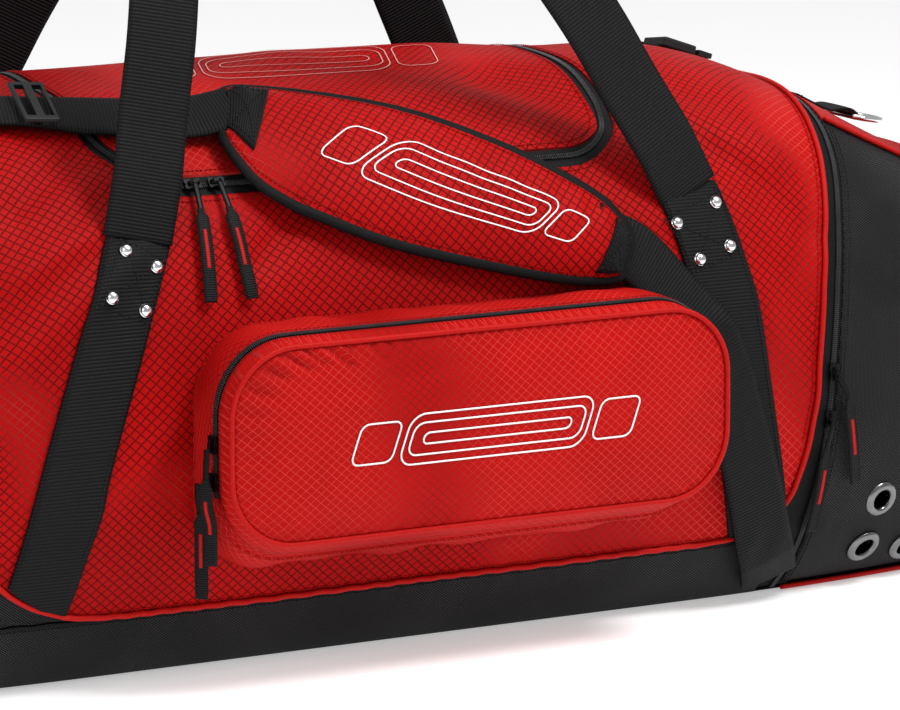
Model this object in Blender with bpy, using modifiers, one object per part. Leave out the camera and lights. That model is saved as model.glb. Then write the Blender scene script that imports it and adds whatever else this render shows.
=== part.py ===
# A long soft equipment bag: red panels on a black base, two carry handles, a shoulder strap,
# a zipped lid on top, a zipped front pocket and a zipped compartment at the right end.
# Metres, +X along the bag, -Y to the front, +Z up, origin under the middle of the bag.
import math

import bmesh
import bpy
from mathutils import Matrix, Vector

for obj in list(bpy.data.objects):
    bpy.data.objects.remove(obj, do_unlink=True)

# ---- overall form --------------------------------------------------------------------------
CROWN = 0.410
HALF_DEPTH = 0.210
WAIST_Z = 0.18
LOW_RADIUS = 0.22
LOW_POWER = 2.6
UP_POWER = 2.35
END_ROUND_X = 0.50
END_ROUND = 0.04
END_CENTRE_Z = 0.15
END_SHRINK = 0.75

SKIN = 0.0025
TAPE = 0.0016
WEB = 0.0022
WEB_WIDTH = 0.049
PIPING_R = 0.0022

BASE_TOP_Z = 0.055
FLOOR_ANGLE = -50.4
HINGE_Y = 0.100

RED = (0.55, 0.02, 0.03)
BLACK = (0.012, 0.012, 0.014)
WEB_BLACK = (0.010, 0.010, 0.012)
STEEL = (0.62, 0.63, 0.65)
PLASTIC = (0.015, 0.015, 0.016)

bag = bpy.data.collections.new("equipment_bag")
bpy.context.scene.collection.children.link(bag)
cutters = bpy.data.collections.new("cutters")
bpy.context.scene.collection.children.link(cutters)
cutters.hide_render = True


def finish_of(name, colour, rough, metal=0.0):
    material = bpy.data.materials.new(name)
    material.use_nodes = True
    shader = material.node_tree.nodes["Principled BSDF"]
    shader.inputs["Base Color"].default_value = (*colour, 1.0)
    shader.inputs["Roughness"].default_value = rough
    shader.inputs["Metallic"].default_value = metal
    material.diffuse_color = (*colour, 1.0)
    return material


FINISH = {
    "red_ripstop": finish_of("red_ripstop", RED, 0.6),
    "black_nylon": finish_of("black_nylon", BLACK, 0.75),
    "webbing": finish_of("webbing", WEB_BLACK, 0.7),
    "zip_tape": finish_of("zip_tape", BLACK, 0.8),
    "red_piping": finish_of("red_piping", RED, 0.5),
    "metal": finish_of("metal", STEEL, 0.25, 1.0),
    "plastic": finish_of("plastic", PLASTIC, 0.45),
    "board": finish_of("board", (0.03, 0.03, 0.03), 0.8),
    "lining": finish_of("lining", (0.03, 0.03, 0.032), 0.8),
}


def place(name, mesh, finish, smooth=True):
    obj = bpy.data.objects.new(name, mesh)
    bag.objects.link(obj)
    mesh.materials.append(FINISH[finish])
    if smooth:
        mesh.polygons.foreach_set("use_smooth", [True] * len(mesh.polygons))
        mesh.set_sharp_from_angle(angle=math.radians(40))
    return obj


# ---- the bag's surface ----------------------------------------------------------------------
def ease(k):
    k = min(max(k, 0.0), 1.0)
    return k * k * (3 - 2 * k)


def height(x):
    return CROWN - 0.115 * ease((abs(x) - 0.27) / 0.33)


def half_depth(x):
    k = min(max((abs(x) - 0.25) / 0.29, 0.0), 1.0)
    return HALF_DEPTH - 0.045 * k * k


def power(value, exponent):
    return math.copysign(abs(value) ** exponent, value)


def section(x, angle):
    """Point of the section at x: angle -90 under, 0 front, 90 top, 180 rear, in degrees."""
    low = math.sin(math.radians(angle)) < 0
    exponent = 2 / (LOW_POWER if low else UP_POWER)
    radius = LOW_RADIUS if low else height(x) - WAIST_Z
    y = -half_depth(x) * power(math.cos(math.radians(angle)), exponent)
    z = WAIST_Z + radius * power(math.sin(math.radians(angle)), exponent)
    return Vector((x, y, max(z, 0.0)))


def skin_point(x, angle):
    """The same, rounded over towards each end: |x| beyond END_ROUND_X counts as arc length."""
    if abs(x) <= END_ROUND_X:
        return section(x, angle)
    side = math.copysign(1.0, x)
    turn = min((abs(x) - END_ROUND_X) / END_ROUND, math.pi / 2)
    rest = abs(x) - END_ROUND_X - END_ROUND * math.pi / 2
    shrink = 1 - (1 - END_SHRINK) * (1 - math.cos(turn))
    if rest > 0:
        shrink = max(END_SHRINK * (1 - rest / 0.16), 0.0)
    flat = section(side * END_ROUND_X, angle)
    centre = Vector((flat.x, 0, END_CENTRE_Z))
    point = centre + (flat - centre) * shrink
    point.x = side * (END_ROUND_X + END_ROUND * math.sin(turn))
    return point


def normal(x, angle):
    along = skin_point(x + 0.0015, angle) - skin_point(x - 0.0015, angle)
    around = skin_point(x, angle + 0.6) - skin_point(x, angle - 0.6)
    if around.length < 1e-7:
        return Vector((math.copysign(1.0, x), 0, 0))
    return around.cross(along).normalized() * -1


def lifted(x, angle, off):
    return skin_point(x, angle) + normal(x, angle) * off


def angle_at(x, z):
    if z < WAIST_Z:
        s = -(((WAIST_Z - z) / LOW_RADIUS) ** (LOW_POWER / 2))
    else:
        s = ((z - WAIST_Z) / (height(x) - WAIST_Z)) ** (UP_POWER / 2)
    return math.degrees(math.asin(max(-1.0, min(1.0, s))))


def top_angle_at(x, y):
    c = (abs(y) / half_depth(x)) ** (UP_POWER / 2)
    angle = math.degrees(math.acos(min(1.0, c)))
    return angle if y < 0 else 180 - angle


def table(rows, value):
    if value <= rows[0][0]:
        return rows[0][1]
    for (a, low), (b, high) in zip(rows, rows[1:]):
        if value <= b:
            return low + (high - low) * (value - a) / (b - a)
    return rows[-1][1]


def mirrored(angle):
    return angle if angle <= 90 else 180 - angle


def spread(start, end, count):
    return [start + (end - start) * i / count for i in range(count + 1)]


# Seam positions along X against the section angle, the same at front and rear.
A0 = angle_at(0, BASE_TOP_Z)
WRAP_LEFT = [(A0, -0.272), (-25.2, -0.309), (-21, -0.334), (-16.5, -0.351), (-12, -0.360)]
WRAP_RIGHT = [
    (A0, 0.264), (-26.5, 0.282), (-23, 0.298), (-19, 0.308), (-10, 0.319), (0, 0.327),
    (15, 0.335), (30, 0.347), (45, 0.360), (60, 0.371), (75, 0.380), (90, 0.385),
]
END_COIL = [
    (-51, 0.322), (-27, 0.327), (-19, 0.331), (-2, 0.340), (0, 0.341), (15, 0.349),
    (30, 0.360), (45, 0.374), (60, 0.386), (75, 0.394), (90, 0.396),
]


def wrap_left(angle):
    return table(WRAP_LEFT, mirrored(angle))


def wrap_right(angle):
    return table(WRAP_RIGHT, mirrored(angle))


def end_coil(angle):
    return table(END_COIL, mirrored(angle))


# ---- closed shells --------------------------------------------------------------------------
def shell(name, finish, cells, outer, inner):
    """A closed thin wall: the cells of the outer face, of the inner one, and every open edge joined."""
    mesh = bpy.data.meshes.new(name)
    n = len(outer)
    faces = [tuple(c) for c in cells]
    faces += [tuple(i + n for i in reversed(c)) for c in cells]
    used = {}
    for cell in cells:
        for a, b in zip(cell, cell[1:] + cell[:1]):
            used[(a, b)] = True
    for a, b in used:
        if (b, a) not in used:
            faces.append((b, a, a + n, b + n))
    mesh.from_pydata([tuple(p) for p in outer + inner], [], faces)
    tidy(mesh)
    return place(name, mesh, finish)


def tidy(mesh):
    bm = bmesh.new()
    bm.from_mesh(mesh)
    bmesh.ops.remove_doubles(bm, verts=bm.verts, dist=1e-6)
    bmesh.ops.recalc_face_normals(bm, faces=bm.faces)
    if bm.calc_volume(signed=True) < 0:
        bmesh.ops.reverse_faces(bm, faces=bm.faces)
    bm.to_mesh(mesh)
    bm.free()


def grid(rows, columns, close_rows=False):
    cells = []
    for i in range(rows - 1 + int(close_rows)):
        for j in range(columns - 1):
            a = i * columns + j
            b = ((i + 1) % rows) * columns + j
            cells.append([a, a + 1, b + 1, b])
    return cells


def panel(name, finish, angles, columns, left, right, top=0.0, thick=SKIN):
    """A patch of the bag's surface between two seams, given as functions of the angle."""
    outer = []
    inner = []
    for angle in angles:
        for x in spread(left(angle), right(angle), columns):
            outer.append(lifted(x, angle, top))
            inner.append(lifted(x, angle, top - thick))
    return shell(name, finish, grid(len(angles), columns + 1), outer, inner)


def ribbon(name, finish, spine, width, low, thick, across=3):
    """A strip on the surface along (x, angle) points; low is its underside's height over the surface."""
    outer = []
    inner = []
    last = len(spine) - 1
    for i, (x, angle) in enumerate(spine):
        before = lifted(*spine[max(i - 1, 0)], 0)
        after = lifted(*spine[min(i + 1, last)], 0)
        along = (after - before).normalized()
        side = normal(x, angle).cross(along).normalized()
        arc = (skin_point(x, angle + 1) - skin_point(x, angle - 1)) / 2
        per_degree = max(arc.length, 1e-6)
        for u in spread(-0.5, 0.5, across):
            dx = side.x * u * width
            da = side.dot(arc.normalized()) * u * width / per_degree
            outer.append(lifted(x + dx, angle + da, low + thick))
            inner.append(lifted(x + dx, angle + da, low))
    return shell(name, finish, grid(len(spine), across + 1), outer, inner)


def tube(name, finish, points, radius, sides=6, closed=False):
    """A round cord along points; the ends are capped unless it closes on itself."""
    rings = []
    count = len(points)
    for i, point in enumerate(points):
        before = points[(i - 1) % count] if closed or i else points[i]
        after = points[(i + 1) % count] if closed or i < count - 1 else points[i]
        along = (after - before).normalized()
        aim = Vector((0.13, 0.21, 0.97)) if abs(along.z) < 0.9 else Vector((0.2, 0.97, 0.1))
        if closed or not rings:
            side = along.cross(aim).normalized()
        if rings:
            side = (last_side - along * last_side.dot(along)).normalized()
        last_side = side
        other = along.cross(side)
        ring = []
        for k in range(sides):
            t = 2 * math.pi * k / sides
            ring.append(point + side * math.cos(t) * radius + other * math.sin(t) * radius)
        rings.append(ring)
    verts = [v for ring in rings for v in ring]
    faces = []
    for i in range(count if closed else count - 1):
        j = (i + 1) % count
        twist = 0
        if closed and j == 0:
            gaps = [sum((rings[i][k] - rings[0][(k + s) % sides]).length for k in range(sides))
                    for s in range(sides)]
            twist = gaps.index(min(gaps))
        for k in range(sides):
            m = (k + 1) % sides
            faces.append((i * sides + k, i * sides + m, j * sides + (m + twist) % sides,
                          j * sides + (k + twist) % sides))
    if not closed:
        faces.append(tuple(range(sides)))
        faces.append(tuple(range((count - 1) * sides, count * sides)))
    mesh = bpy.data.meshes.new(name)
    mesh.from_pydata([tuple(v) for v in verts], [], faces)
    tidy(mesh)
    return place(name, mesh, finish)


def box(name, finish, size, matrix=Matrix(), bevel=0.0):
    mesh = bpy.data.meshes.new(name)
    bm = bmesh.new()
    bmesh.ops.create_cube(bm, size=1.0)
    bmesh.ops.scale(bm, vec=size, verts=bm.verts)
    bm.to_mesh(mesh)
    bm.free()
    obj = place(name, mesh, finish, smooth=False)
    obj.matrix_world = matrix
    if bevel:
        modifier = obj.modifiers.new("rounded", "BEVEL")
        modifier.width = bevel
        modifier.segments = 2
    return obj


def prism(name, outline, low, high):
    """A cutter: the outline in plan, extruded between two heights."""
    n = len(outline)
    verts = [(x, y, low) for x, y in outline] + [(x, y, high) for x, y in outline]
    faces = [tuple(reversed(range(n))), tuple(range(n, 2 * n))]
    for i in range(n):
        j = (i + 1) % n
        faces.append((i, j, j + n, i + n))
    mesh = bpy.data.meshes.new(name)
    mesh.from_pydata(verts, [], faces)
    tidy(mesh)
    obj = bpy.data.objects.new(name, mesh)
    cutters.objects.link(obj)
    obj.hide_render = True
    obj.display_type = "WIRE"
    return obj


def cut(obj, cutter, operation="DIFFERENCE"):
    modifier = obj.modifiers.new(operation.lower(), "BOOLEAN")
    modifier.operation = operation
    modifier.solver = "EXACT"
    modifier.object = cutter


def frame_at(x, angle, off, turn=0.0):
    """Axes on the surface: local X along the bag, local Y up the skin, local Z outwards."""
    z = normal(x, angle)
    y = (skin_point(x, angle + 1) - skin_point(x, angle - 1)).normalized()
    axis_x = y.cross(z).normalized()
    y = z.cross(axis_x)
    matrix = Matrix((axis_x, y, z)).transposed().to_4x4()
    matrix.translation = lifted(x, angle, off)
    return matrix @ Matrix.Rotation(turn, 4, "Z")


# ---- body panels ----------------------------------------------------------------------------
TRAY_RIGHT = 0.3075
TRAY_TOP = A0 - 0.7
END_ARC = END_ROUND_X + END_ROUND * math.pi / 2

tray_angles = [TRAY_TOP, -35, -42, FLOOR_ANGLE, -52, -70, -90, -110, -128, -180 - FLOOR_ANGLE, -138, -145,
               -180 - TRAY_TOP]
tray_columns = [TRAY_RIGHT, 0.15, 0, -0.15, -0.3, -0.4, -0.46, -0.5, -0.52, -0.54, -END_ARC + 0.001]
outer = []
inner = []
for a in tray_angles:
    for x in tray_columns:
        outer.append(lifted(x, a, 0))
        inner.append(lifted(x, a, -SKIN))
shell("base_tray", "black_nylon", grid(len(tray_angles), len(tray_columns)), outer, inner)

box("base_board", "board", (0.70, 0.25, 0.004), Matrix.Translation((-0.08, 0, 0.006)), 0.0015)

front_angles = [A0, -26.8, -24, -20, -15, -8, 0, 10, 20, 30, 40, 50, 60, 70, 80, 90, 100, 110, 119]
wrap = panel("main_wrap", "red_ripstop", front_angles, 14, wrap_left, wrap_right)
rear_angles = [119.8, 130, 140, 150, 160, 170, 180, 188, 195, 200, 204, 206.8, 180 - A0]
panel("rear_panel", "red_ripstop", rear_angles, 10, wrap_left, wrap_right)


def end_shell(name, finish, side, angles, start):
    """A rounded end: the wall over the given angles and the whole end face."""
    outer = []
    inner = []
    for a in angles:
        first = abs(start(a))
        row = spread(first, 0.49, 3) + [0.505, 0.525, 0.545, END_ARC, END_ARC + 0.055, END_ARC + 0.11]
        for x in row:
            outer.append(lifted(side * x, a, 0))
            inner.append(lifted(side * x, a, -SKIN))
    n = len(angles)
    columns = 10
    cells = grid(n, columns)
    for j in range(7, columns - 1):
        cells.append([(n - 1) * columns + j, (n - 1) * columns + j + 1, j + 1, j])
    tip = len(outer)
    outer.append(Vector((side * (END_ROUND_X + END_ROUND), 0, END_CENTRE_Z)))
    inner.append(Vector((side * (END_ROUND_X + END_ROUND - SKIN), 0, END_CENTRE_Z)))
    for i in range(n):
        cells.append([i * columns + columns - 1, tip, ((i + 1) % n) * columns + columns - 1])
    return shell(name, finish, cells, outer, inner)


def left_start(angle):
    return wrap_left(angle) - 0.0008


left_angles = [A0, -25, -20, -15, -8, 0, 12, 25, 40, 55, 72, 90, 108, 125, 140, 155, 168, 180, 188, 195,
               200, 205, 180 - A0]


def left_end():
    """The left end: wall above the tray, and the end face down to the tray's turned-up edge."""
    outer = []
    inner = []
    columns = 10
    for a in left_angles:
        row = spread(left_start(a), -0.49, 3) + [-0.505, -0.525, -0.545, -END_ARC, -END_ARC - 0.055,
                                                 -END_ARC - 0.11]
        for x in row:
            outer.append(lifted(x, a, 0))
            inner.append(lifted(x, a, -SKIN))
    n = len(left_angles)
    cells = grid(n, columns)
    low = []
    for a in (-145, -132, -110, -90, -70, -48, -35):
        ring = []
        for x in (-END_ARC - 0.003, -END_ARC - 0.055, -END_ARC - 0.11):
            ring.append(len(outer))
            outer.append(lifted(x, a, 0))
            inner.append(lifted(x, a, -SKIN))
        low.append(ring)
    chain = [[(n - 1) * columns + j for j in (7, 8, 9)]] + low + [[7, 8, 9]]
    for first, second in zip(chain, chain[1:]):
        for j in range(2):
            cells.append([first[j], first[j + 1], second[j + 1], second[j]])
    tip = len(outer)
    outer.append(Vector((-END_ROUND_X - END_ROUND, 0, END_CENTRE_Z)))
    inner.append(Vector((-END_ROUND_X - END_ROUND + SKIN, 0, END_CENTRE_Z)))
    loop = [i * columns + 9 for i in range(n)] + [ring[2] for ring in low]
    for a, b in zip(loop, loop[1:] + loop[:1]):
        cells.append([a, tip, b])
    return shell("left_end", "black_nylon", cells, outer, inner)


left_end()

# The wall between the main space and the right end compartment.
outer = []
inner = []
divider_angles = [-50, -40, -25, -12, 0, 15, 30, 45, 60, 75, 90, 105, 120, 135, 150, 165, 180, 192, 205,
                  220, 230]
for a in divider_angles:
    x = 0.300
    for k in (0.985, 0.55):
        p = lifted(x, a, -0.0035)
        p = Vector((x, p.y * k, END_CENTRE_Z + (max(p.z, 0.0036) - END_CENTRE_Z) * k))
        outer.append(p)
        inner.append(p + Vector((-0.002, 0, 0)))
n = len(divider_angles)
cells = grid(n, 2, close_rows=True)
tip = len(outer)
outer.append(Vector((0.300, 0, END_CENTRE_Z)))
inner.append(Vector((0.298, 0, END_CENTRE_Z)))
for i in range(n):
    cells.append([i * 2 + 1, tip, ((i + 1) % n) * 2 + 1])
shell("divider_wall", "lining", cells, outer, inner)

# ---- right end compartment ------------------------------------------------------------------
floor_angles = [-49.6, -52, -70, -90, -110, -128, -130.4]
outer = []
inner = []
for a in floor_angles:
    for x in (TRAY_RIGHT + 0.0006, 0.37, 0.44, 0.49, 0.505, 0.525, 0.545, END_ARC - 0.004):
        outer.append(lifted(x, a, 0))
        inner.append(lifted(x, a, -SKIN))
shell("end_floor", "black_nylon", grid(len(floor_angles), 8), outer, inner)

tape_angles = [-48.5, -42, -35, A0 - 0.7] + front_angles + rear_angles + [180.7 - A0, 215, 222, 228.5]


def tape_inner_edge(angle):
    if mirrored(angle) < A0 - 0.2:
        return TRAY_RIGHT + 0.0006
    return wrap_right(angle) + 0.0006


panel("end_zip_tape_body", "zip_tape", tape_angles, 2, tape_inner_edge,
      lambda a: end_coil(a) - 0.0004, 0, TAPE)
panel("end_zip_tape_cap", "zip_tape", tape_angles, 1, lambda a: end_coil(a) + 0.0004,
      lambda a: end_coil(a) + 0.0145, 0, TAPE)
CAP_SEAM_A = 62.0
cap_angles = [-46.5] + tape_angles[1:-1] + [226.5]
end_cap = end_shell("end_cap", "black_nylon", 1, cap_angles, lambda a: end_coil(a) + 0.0151)

GROMMET_AT = [(0.400, 0.071), (0.394, 0.032), (0.439, 0.026)]
for number, (x, z) in enumerate(GROMMET_AT):
    matrix = frame_at(x, angle_at(x, z), 0)
    hole = prism(f"grommet_hole_{number}", [(0.0086 * math.cos(t), 0.0086 * math.sin(t))
                                            for t in spread(0, 2 * math.pi, 16)[:-1]], -0.02, 0.02)
    hole.matrix_world = matrix
    cut(end_cap, hole)
    profile = [(0.0110 + 0.0039 * math.cos(t), 0.0029 + 0.0017 * math.sin(t))
               for t in spread(0, 2 * math.pi, 8)[:-1]]
    sides = 20
    mesh = bpy.data.meshes.new("grommet")
    verts = [(r * math.cos(2 * math.pi * k / sides), r * math.sin(2 * math.pi * k / sides), h)
             for k in range(sides) for r, h in profile]
    m = len(profile)
    faces = []
    for k in range(sides):
        for j in range(m):
            a, b = k * m + j, k * m + (j + 1) % m
            c, d = ((k + 1) % sides) * m + (j + 1) % m, ((k + 1) % sides) * m + j
            faces.append((a, b, c, d))
    mesh.from_pydata(verts, [], faces)
    tidy(mesh)
    ring = place(f"grommet_{number + 1}", mesh, "metal")
    ring.matrix_world = matrix

top_angles = [CAP_SEAM_A + 1.5] + spread(67, 113, 7) + [178.5 - CAP_SEAM_A]
outer = []
inner = []
for a in top_angles:
    for x in spread(end_coil(a) + 0.0151, 0.49, 3) + [0.505, 0.525]:
        outer.append(lifted(x, a, 0.0018))
        inner.append(lifted(x, a, 0.0007))
shell("end_top_panel", "red_ripstop", grid(len(top_angles), 6), outer, inner)
path = [(x, CAP_SEAM_A) for x in spread(end_coil(CAP_SEAM_A) + 0.018, 0.49, 4)]
path += [(x, CAP_SEAM_A) for x in (0.51, 0.53, 0.55)]
path += [(END_ARC, a) for a in (69, 78, 90, 102, 111)]
path += [(x, 180 - a) for x, a in reversed(path[:8])]
tube("end_top_piping", "red_piping", [lifted(x, a, 0.0030) for x, a in path], 0.0020)

path = [(x, -49) for x in (0.346, 0.39, 0.44, 0.49, 0.51, 0.53, 0.55)]
path += [(END_ARC, a) for a in (-60, -75, -90, -105, -120)]
path += [(x, -131) for x in (0.55, 0.53, 0.51, 0.49, 0.44, 0.39, 0.346)]
points = []
for x, a in path:
    p = skin_point(x, a)
    if x < END_ARC:
        p.y += math.copysign(0.0032, p.y)
    p.x += 0.0032 * min(max((x - 0.50) / 0.05, 0), 1)
    p.z = max(p.z - 0.001 * (x < 0.5), 0.0020)
    points.append(p)
tube("end_lower_piping", "red_piping", points, 0.0018)

# ---- red piping all round the wrap ----------------------------------------------------------
loop = []
for a in (A0, -26.5, -23, -19, -10, 0, 12, 25, 38, 50, 62, 75, 90):
    loop.append((wrap_right(a), a))
loop += [(wrap_right(a), 180 - a) for a in (75, 62, 50, 38, 25, 12, 0, -10, -19, -23, -26.5, A0)]
loop += [(x, 180 - A0) for x in (0.20, 0.12, 0.04, -0.04, -0.12, -0.20)]
left_run = [A0, -25.2, -21, -16.5, -12, 0, 12, 25, 38, 50, 62, 75, 90]
loop += [(wrap_left(a), 180 - a) for a in left_run]
loop += [(wrap_left(a), a) for a in reversed(left_run[:-1])]
loop += [(x, A0) for x in (-0.20, -0.12, -0.04, 0.04, 0.12, 0.20)]
tube("wrap_piping", "red_piping", [lifted(x, a, 0.0038) for x, a in loop], PIPING_R, 6, True)

# ---- top lid --------------------------------------------------------------------------------
LID_LEFT, LID_RIGHT, LID_FRONT, LID_CORNER = -0.229, 0.194, -0.154, 0.055


def lid_outline(grow, back):
    """The lid's outline in plan, its front corners rounded."""
    r = LID_CORNER + grow
    left, right, front = LID_LEFT - grow, LID_RIGHT + grow, LID_FRONT - grow
    points = []
    for i in range(9):
        t = math.pi + math.pi / 2 * i / 8
        points.append((left + r + r * math.cos(t), front + r + r * math.sin(t)))
    for i in range(9):
        t = 1.5 * math.pi + math.pi / 2 * i / 8
        points.append((right - r + r * math.cos(t), front + r + r * math.sin(t)))
    return points + [(right, back), (left, back)]


def top_patch(name, finish, thick):
    angles = spread(38, 119, 13)
    return panel(name, finish, angles, 13, lambda a: -0.262, lambda a: 0.222, 0.0, thick)


cut(wrap, prism("lid_opening", lid_outline(0.0145, HINGE_Y + 0.0006), 0.25, 0.5))
lid = top_patch("lid_panel", "red_ripstop", SKIN)
cut(lid, prism("lid_edge", lid_outline(-0.0145, HINGE_Y), 0.25, 0.5), "INTERSECT")
tape = top_patch("lid_zip_tape_body", "zip_tape", TAPE)
cut(tape, prism("lid_tape_out", lid_outline(0.0140, HINGE_Y), 0.25, 0.5), "INTERSECT")
cut(tape, prism("lid_tape_coil", lid_outline(0.0004, HINGE_Y + 0.1), 0.24, 0.51))
tape = top_patch("lid_zip_tape_lid", "zip_tape", TAPE)
cut(tape, prism("lid_tape_coil2", lid_outline(-0.0004, HINGE_Y), 0.25, 0.5), "INTERSECT")
cut(tape, prism("lid_tape_in", lid_outline(-0.0141, HINGE_Y + 0.1), 0.24, 0.51))


# ---- front pocket ---------------------------------------------------------------------------
def rounded(left, right, low, high, r, per_corner=5, along=6, up=2):
    """Points (x, z) round a rounded rectangle, counter-clockwise seen from the front."""
    points = []
    centres = ((right - r, high - r, 0), (left + r, high - r, 90), (left + r, low + r, 180),
               (right - r, low + r, 270))
    for x, z, start in centres:
        corner = [(x + r * math.cos(math.radians(start + 90 * i / per_corner)),
                   z + r * math.sin(math.radians(start + 90 * i / per_corner)))
                  for i in range(per_corner + 1)]
        if points:
            steps = along if start in (90, 270) else up
            a, b = points[-1], corner[0]
            points += [(a[0] + (b[0] - a[0]) * i / steps, a[1] + (b[1] - a[1]) * i / steps)
                       for i in range(1, steps)]
        points += corner
    a, b = points[-1], points[0]
    points += [(a[0] + (b[0] - a[0]) * i / up, a[1] + (b[1] - a[1]) * i / up) for i in range(1, up)]
    return points


POCKET_BASE = rounded(-0.196, 0.205, 0.082, 0.260, 0.056)
POCKET_FACE = rounded(-0.192, 0.207, 0.114, 0.252, 0.048)
POCKET_FRONT_Y = -0.270


def pocket_point(i, t, inward):
    """Point i of the ring a share t of the way from the base seam to the face, moved inwards."""
    (bx, bz), (fx, fz) = POCKET_BASE[i], POCKET_FACE[i]
    bulge = 0.006 * math.sin(math.pi * t)
    x, z = bx + (fx - bx) * t, bz + (fz - bz) * t
    cx, cz = 0.02, 0.178
    ax, az = max(abs(x - cx) - 0.14, 0) * math.copysign(1, x - cx), z - cz
    size = max(math.hypot(ax, az), 1e-6)
    x += ax / size * (bulge - inward)
    z += az / size * (bulge - inward)
    base_y = section(x, angle_at(x, z)).y - 0.0010
    return Vector((x, base_y + (POCKET_FRONT_Y - base_y) * t, z))


def pocket_wall(name, finish, shares, thick):
    n = len(POCKET_BASE)
    outer = [pocket_point(i, t, 0) for i in range(n) for t in shares]
    inner = [pocket_point(i, t, thick) for i in range(n) for t in shares]
    return shell(name, finish, grid(n, len(shares), close_rows=True), outer, inner)


pocket_wall("pocket_gusset", "red_ripstop", (0, 0.28, 0.55), SKIN)
pocket_wall("pocket_zip_tape_body", "zip_tape", (0.565, 0.680), TAPE)
pocket_wall("pocket_zip_tape_flap", "zip_tape", (0.690, 0.800), TAPE)

n = len(POCKET_BASE)
outer = []
inner = []
for i in range(n):
    for t, thick in ((0.815, SKIN), (1.0, SKIN)):
        outer.append(pocket_point(i, t, 0))
        p = pocket_point(i, t, thick)
        inner.append(p + Vector((0, SKIN if t == 1.0 else 0, 0)))
    for k, puff in ((0.93, 0.003), (0.62, 0.008), (0.30, 0.010)):
        p = pocket_point(i, 1.0, 0)
        q = Vector((0.01 + (p.x - 0.01) * (1 - 0.58 * (1 - k)), p.y - puff, 0.183 + (p.z - 0.183) * k))
        outer.append(q)
        inner.append(q + Vector((0, SKIN, 0)))
columns = 5
cells = grid(n, columns, close_rows=True)
middle = len(outer)
outer.append(Vector((0.01, POCKET_FRONT_Y - 0.011, 0.183)))
inner.append(Vector((0.01, POCKET_FRONT_Y - 0.011 + SKIN, 0.183)))
for i in range(n):
    cells.append([i * columns + columns - 1, middle, ((i + 1) % n) * columns + columns - 1])
shell("pocket_face", "red_ripstop", cells, outer, inner)
tube("pocket_piping", "red_piping", [pocket_point(i, 1.0, -0.0028) + Vector((0, -0.0006, 0)) for i in range(n)],
     0.0020, 6, True)


# ---- zip sliders and their pulls ------------------------------------------------------------
def slider(name, matrix):
    return box(name, "metal", (0.0095, 0.0130, 0.0036), matrix, 0.0008)


def pull(name, points, out, width):
    """A pull hanging along the points: a narrow metal tab, then a wider fabric strip."""
    outer = []
    inner = []
    widths = table_of_widths(len(points), width)
    for i, p in enumerate(points):
        along = (points[min(i + 1, len(points) - 1)] - points[max(i - 1, 0)]).normalized()
        side = along.cross(out).normalized()
        for u in (-0.5, 0.5):
            inner.append(p + side * u * widths[i])
            outer.append(p + side * u * widths[i] + out * 0.0022)
    return shell(name, "webbing", grid(len(points), 2), outer, inner)


def table_of_widths(count, width):
    return [0.005, 0.005, width] + [width] * (count - 3)


def pull_on_skin(name, x, angle, drop, lean, off, length=0.090, width=0.010):
    points = []
    radius = 0.2
    for s in (0.004, 0.024, 0.028, 0.045, 0.062, 0.079, length):
        a = angle
        x_here = x + lean * s
        while (skin_point(x_here, a) - skin_point(x, angle)).length < s:
            a -= 0.25
        points.append(lifted(x_here, a, off))
    out = normal(x, angle - math.degrees(length / 2 / radius))
    return pull(name, points, out, width)


LID_SLIDERS = [("left", -0.169), ("right", -0.150)]
for side, x in LID_SLIDERS:
    a = top_angle_at(x, LID_FRONT)
    slider(f"lid_slider_{side}", frame_at(x, a, 0.0026, math.pi / 2))
    pull_on_skin(f"lid_pull_{side}", x, a, 0.09, 0.0, 0.0052)

END_SLIDERS = [("upper", 0.0), ("lower", -5.5)]
for side, a in END_SLIDERS:
    x = end_coil(a)
    slider(f"end_slider_{side}", frame_at(x, a, 0.0026, 0.05))
    pull_on_skin(f"end_pull_{side}", x + (0.007 if side == "upper" else -0.004), a, 0.09,
                 0.18 if side == "upper" else -0.05, 0.0052, 0.088)

POCKET_SLIDERS = [("upper", 0.184), ("lower", 0.158)]


def pocket_side_point(z, t, inward):
    """The gusset's left side at height z."""
    best = min(range(n), key=lambda i: abs(pocket_point(i, t, inward).z - z) + 9 * (POCKET_FACE[i][0] > -0.15))
    order = [(best + k) % n for k in (-1, 0, 1)]
    points = [pocket_point(i, t, inward) for i in order]
    for a, b in zip(points, points[1:]):
        if min(a.z, b.z) <= z <= max(a.z, b.z):
            return a.lerp(b, (z - a.z) / (b.z - a.z))
    return points[1]


for side, z in POCKET_SLIDERS:
    p = pocket_side_point(z, 0.685, -0.0030)
    q = pocket_side_point(z, 0.78, -0.0030)
    along = (pocket_side_point(z + 0.01, 0.685, 0) - pocket_side_point(z - 0.01, 0.685, 0)).normalized()
    across = (q - p).normalized()
    out = across.cross(along).normalized()
    if out.x > 0:
        out = -out
    across = along.cross(out)
    matrix = Matrix((across, along, out)).transposed().to_4x4()
    matrix.translation = p
    slider(f"pocket_slider_{side}", matrix)
    shift = Vector((-0.0030, -0.004 if side == "upper" else 0.012, 0))
    points = []
    for s in (0.004, 0.024, 0.028, 0.045, 0.064, 0.084):
        drop = p + shift - Vector((0, 0, s))
        low = pocket_side_point(max(drop.z, 0.125), 0.685, -0.0062)
        drop.x = min(drop.x, low.x - 0.001)
        points.append(drop)
    pull(f"pocket_pull_{side}", points, Vector((-1, 0, 0)), 0.010)

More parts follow.
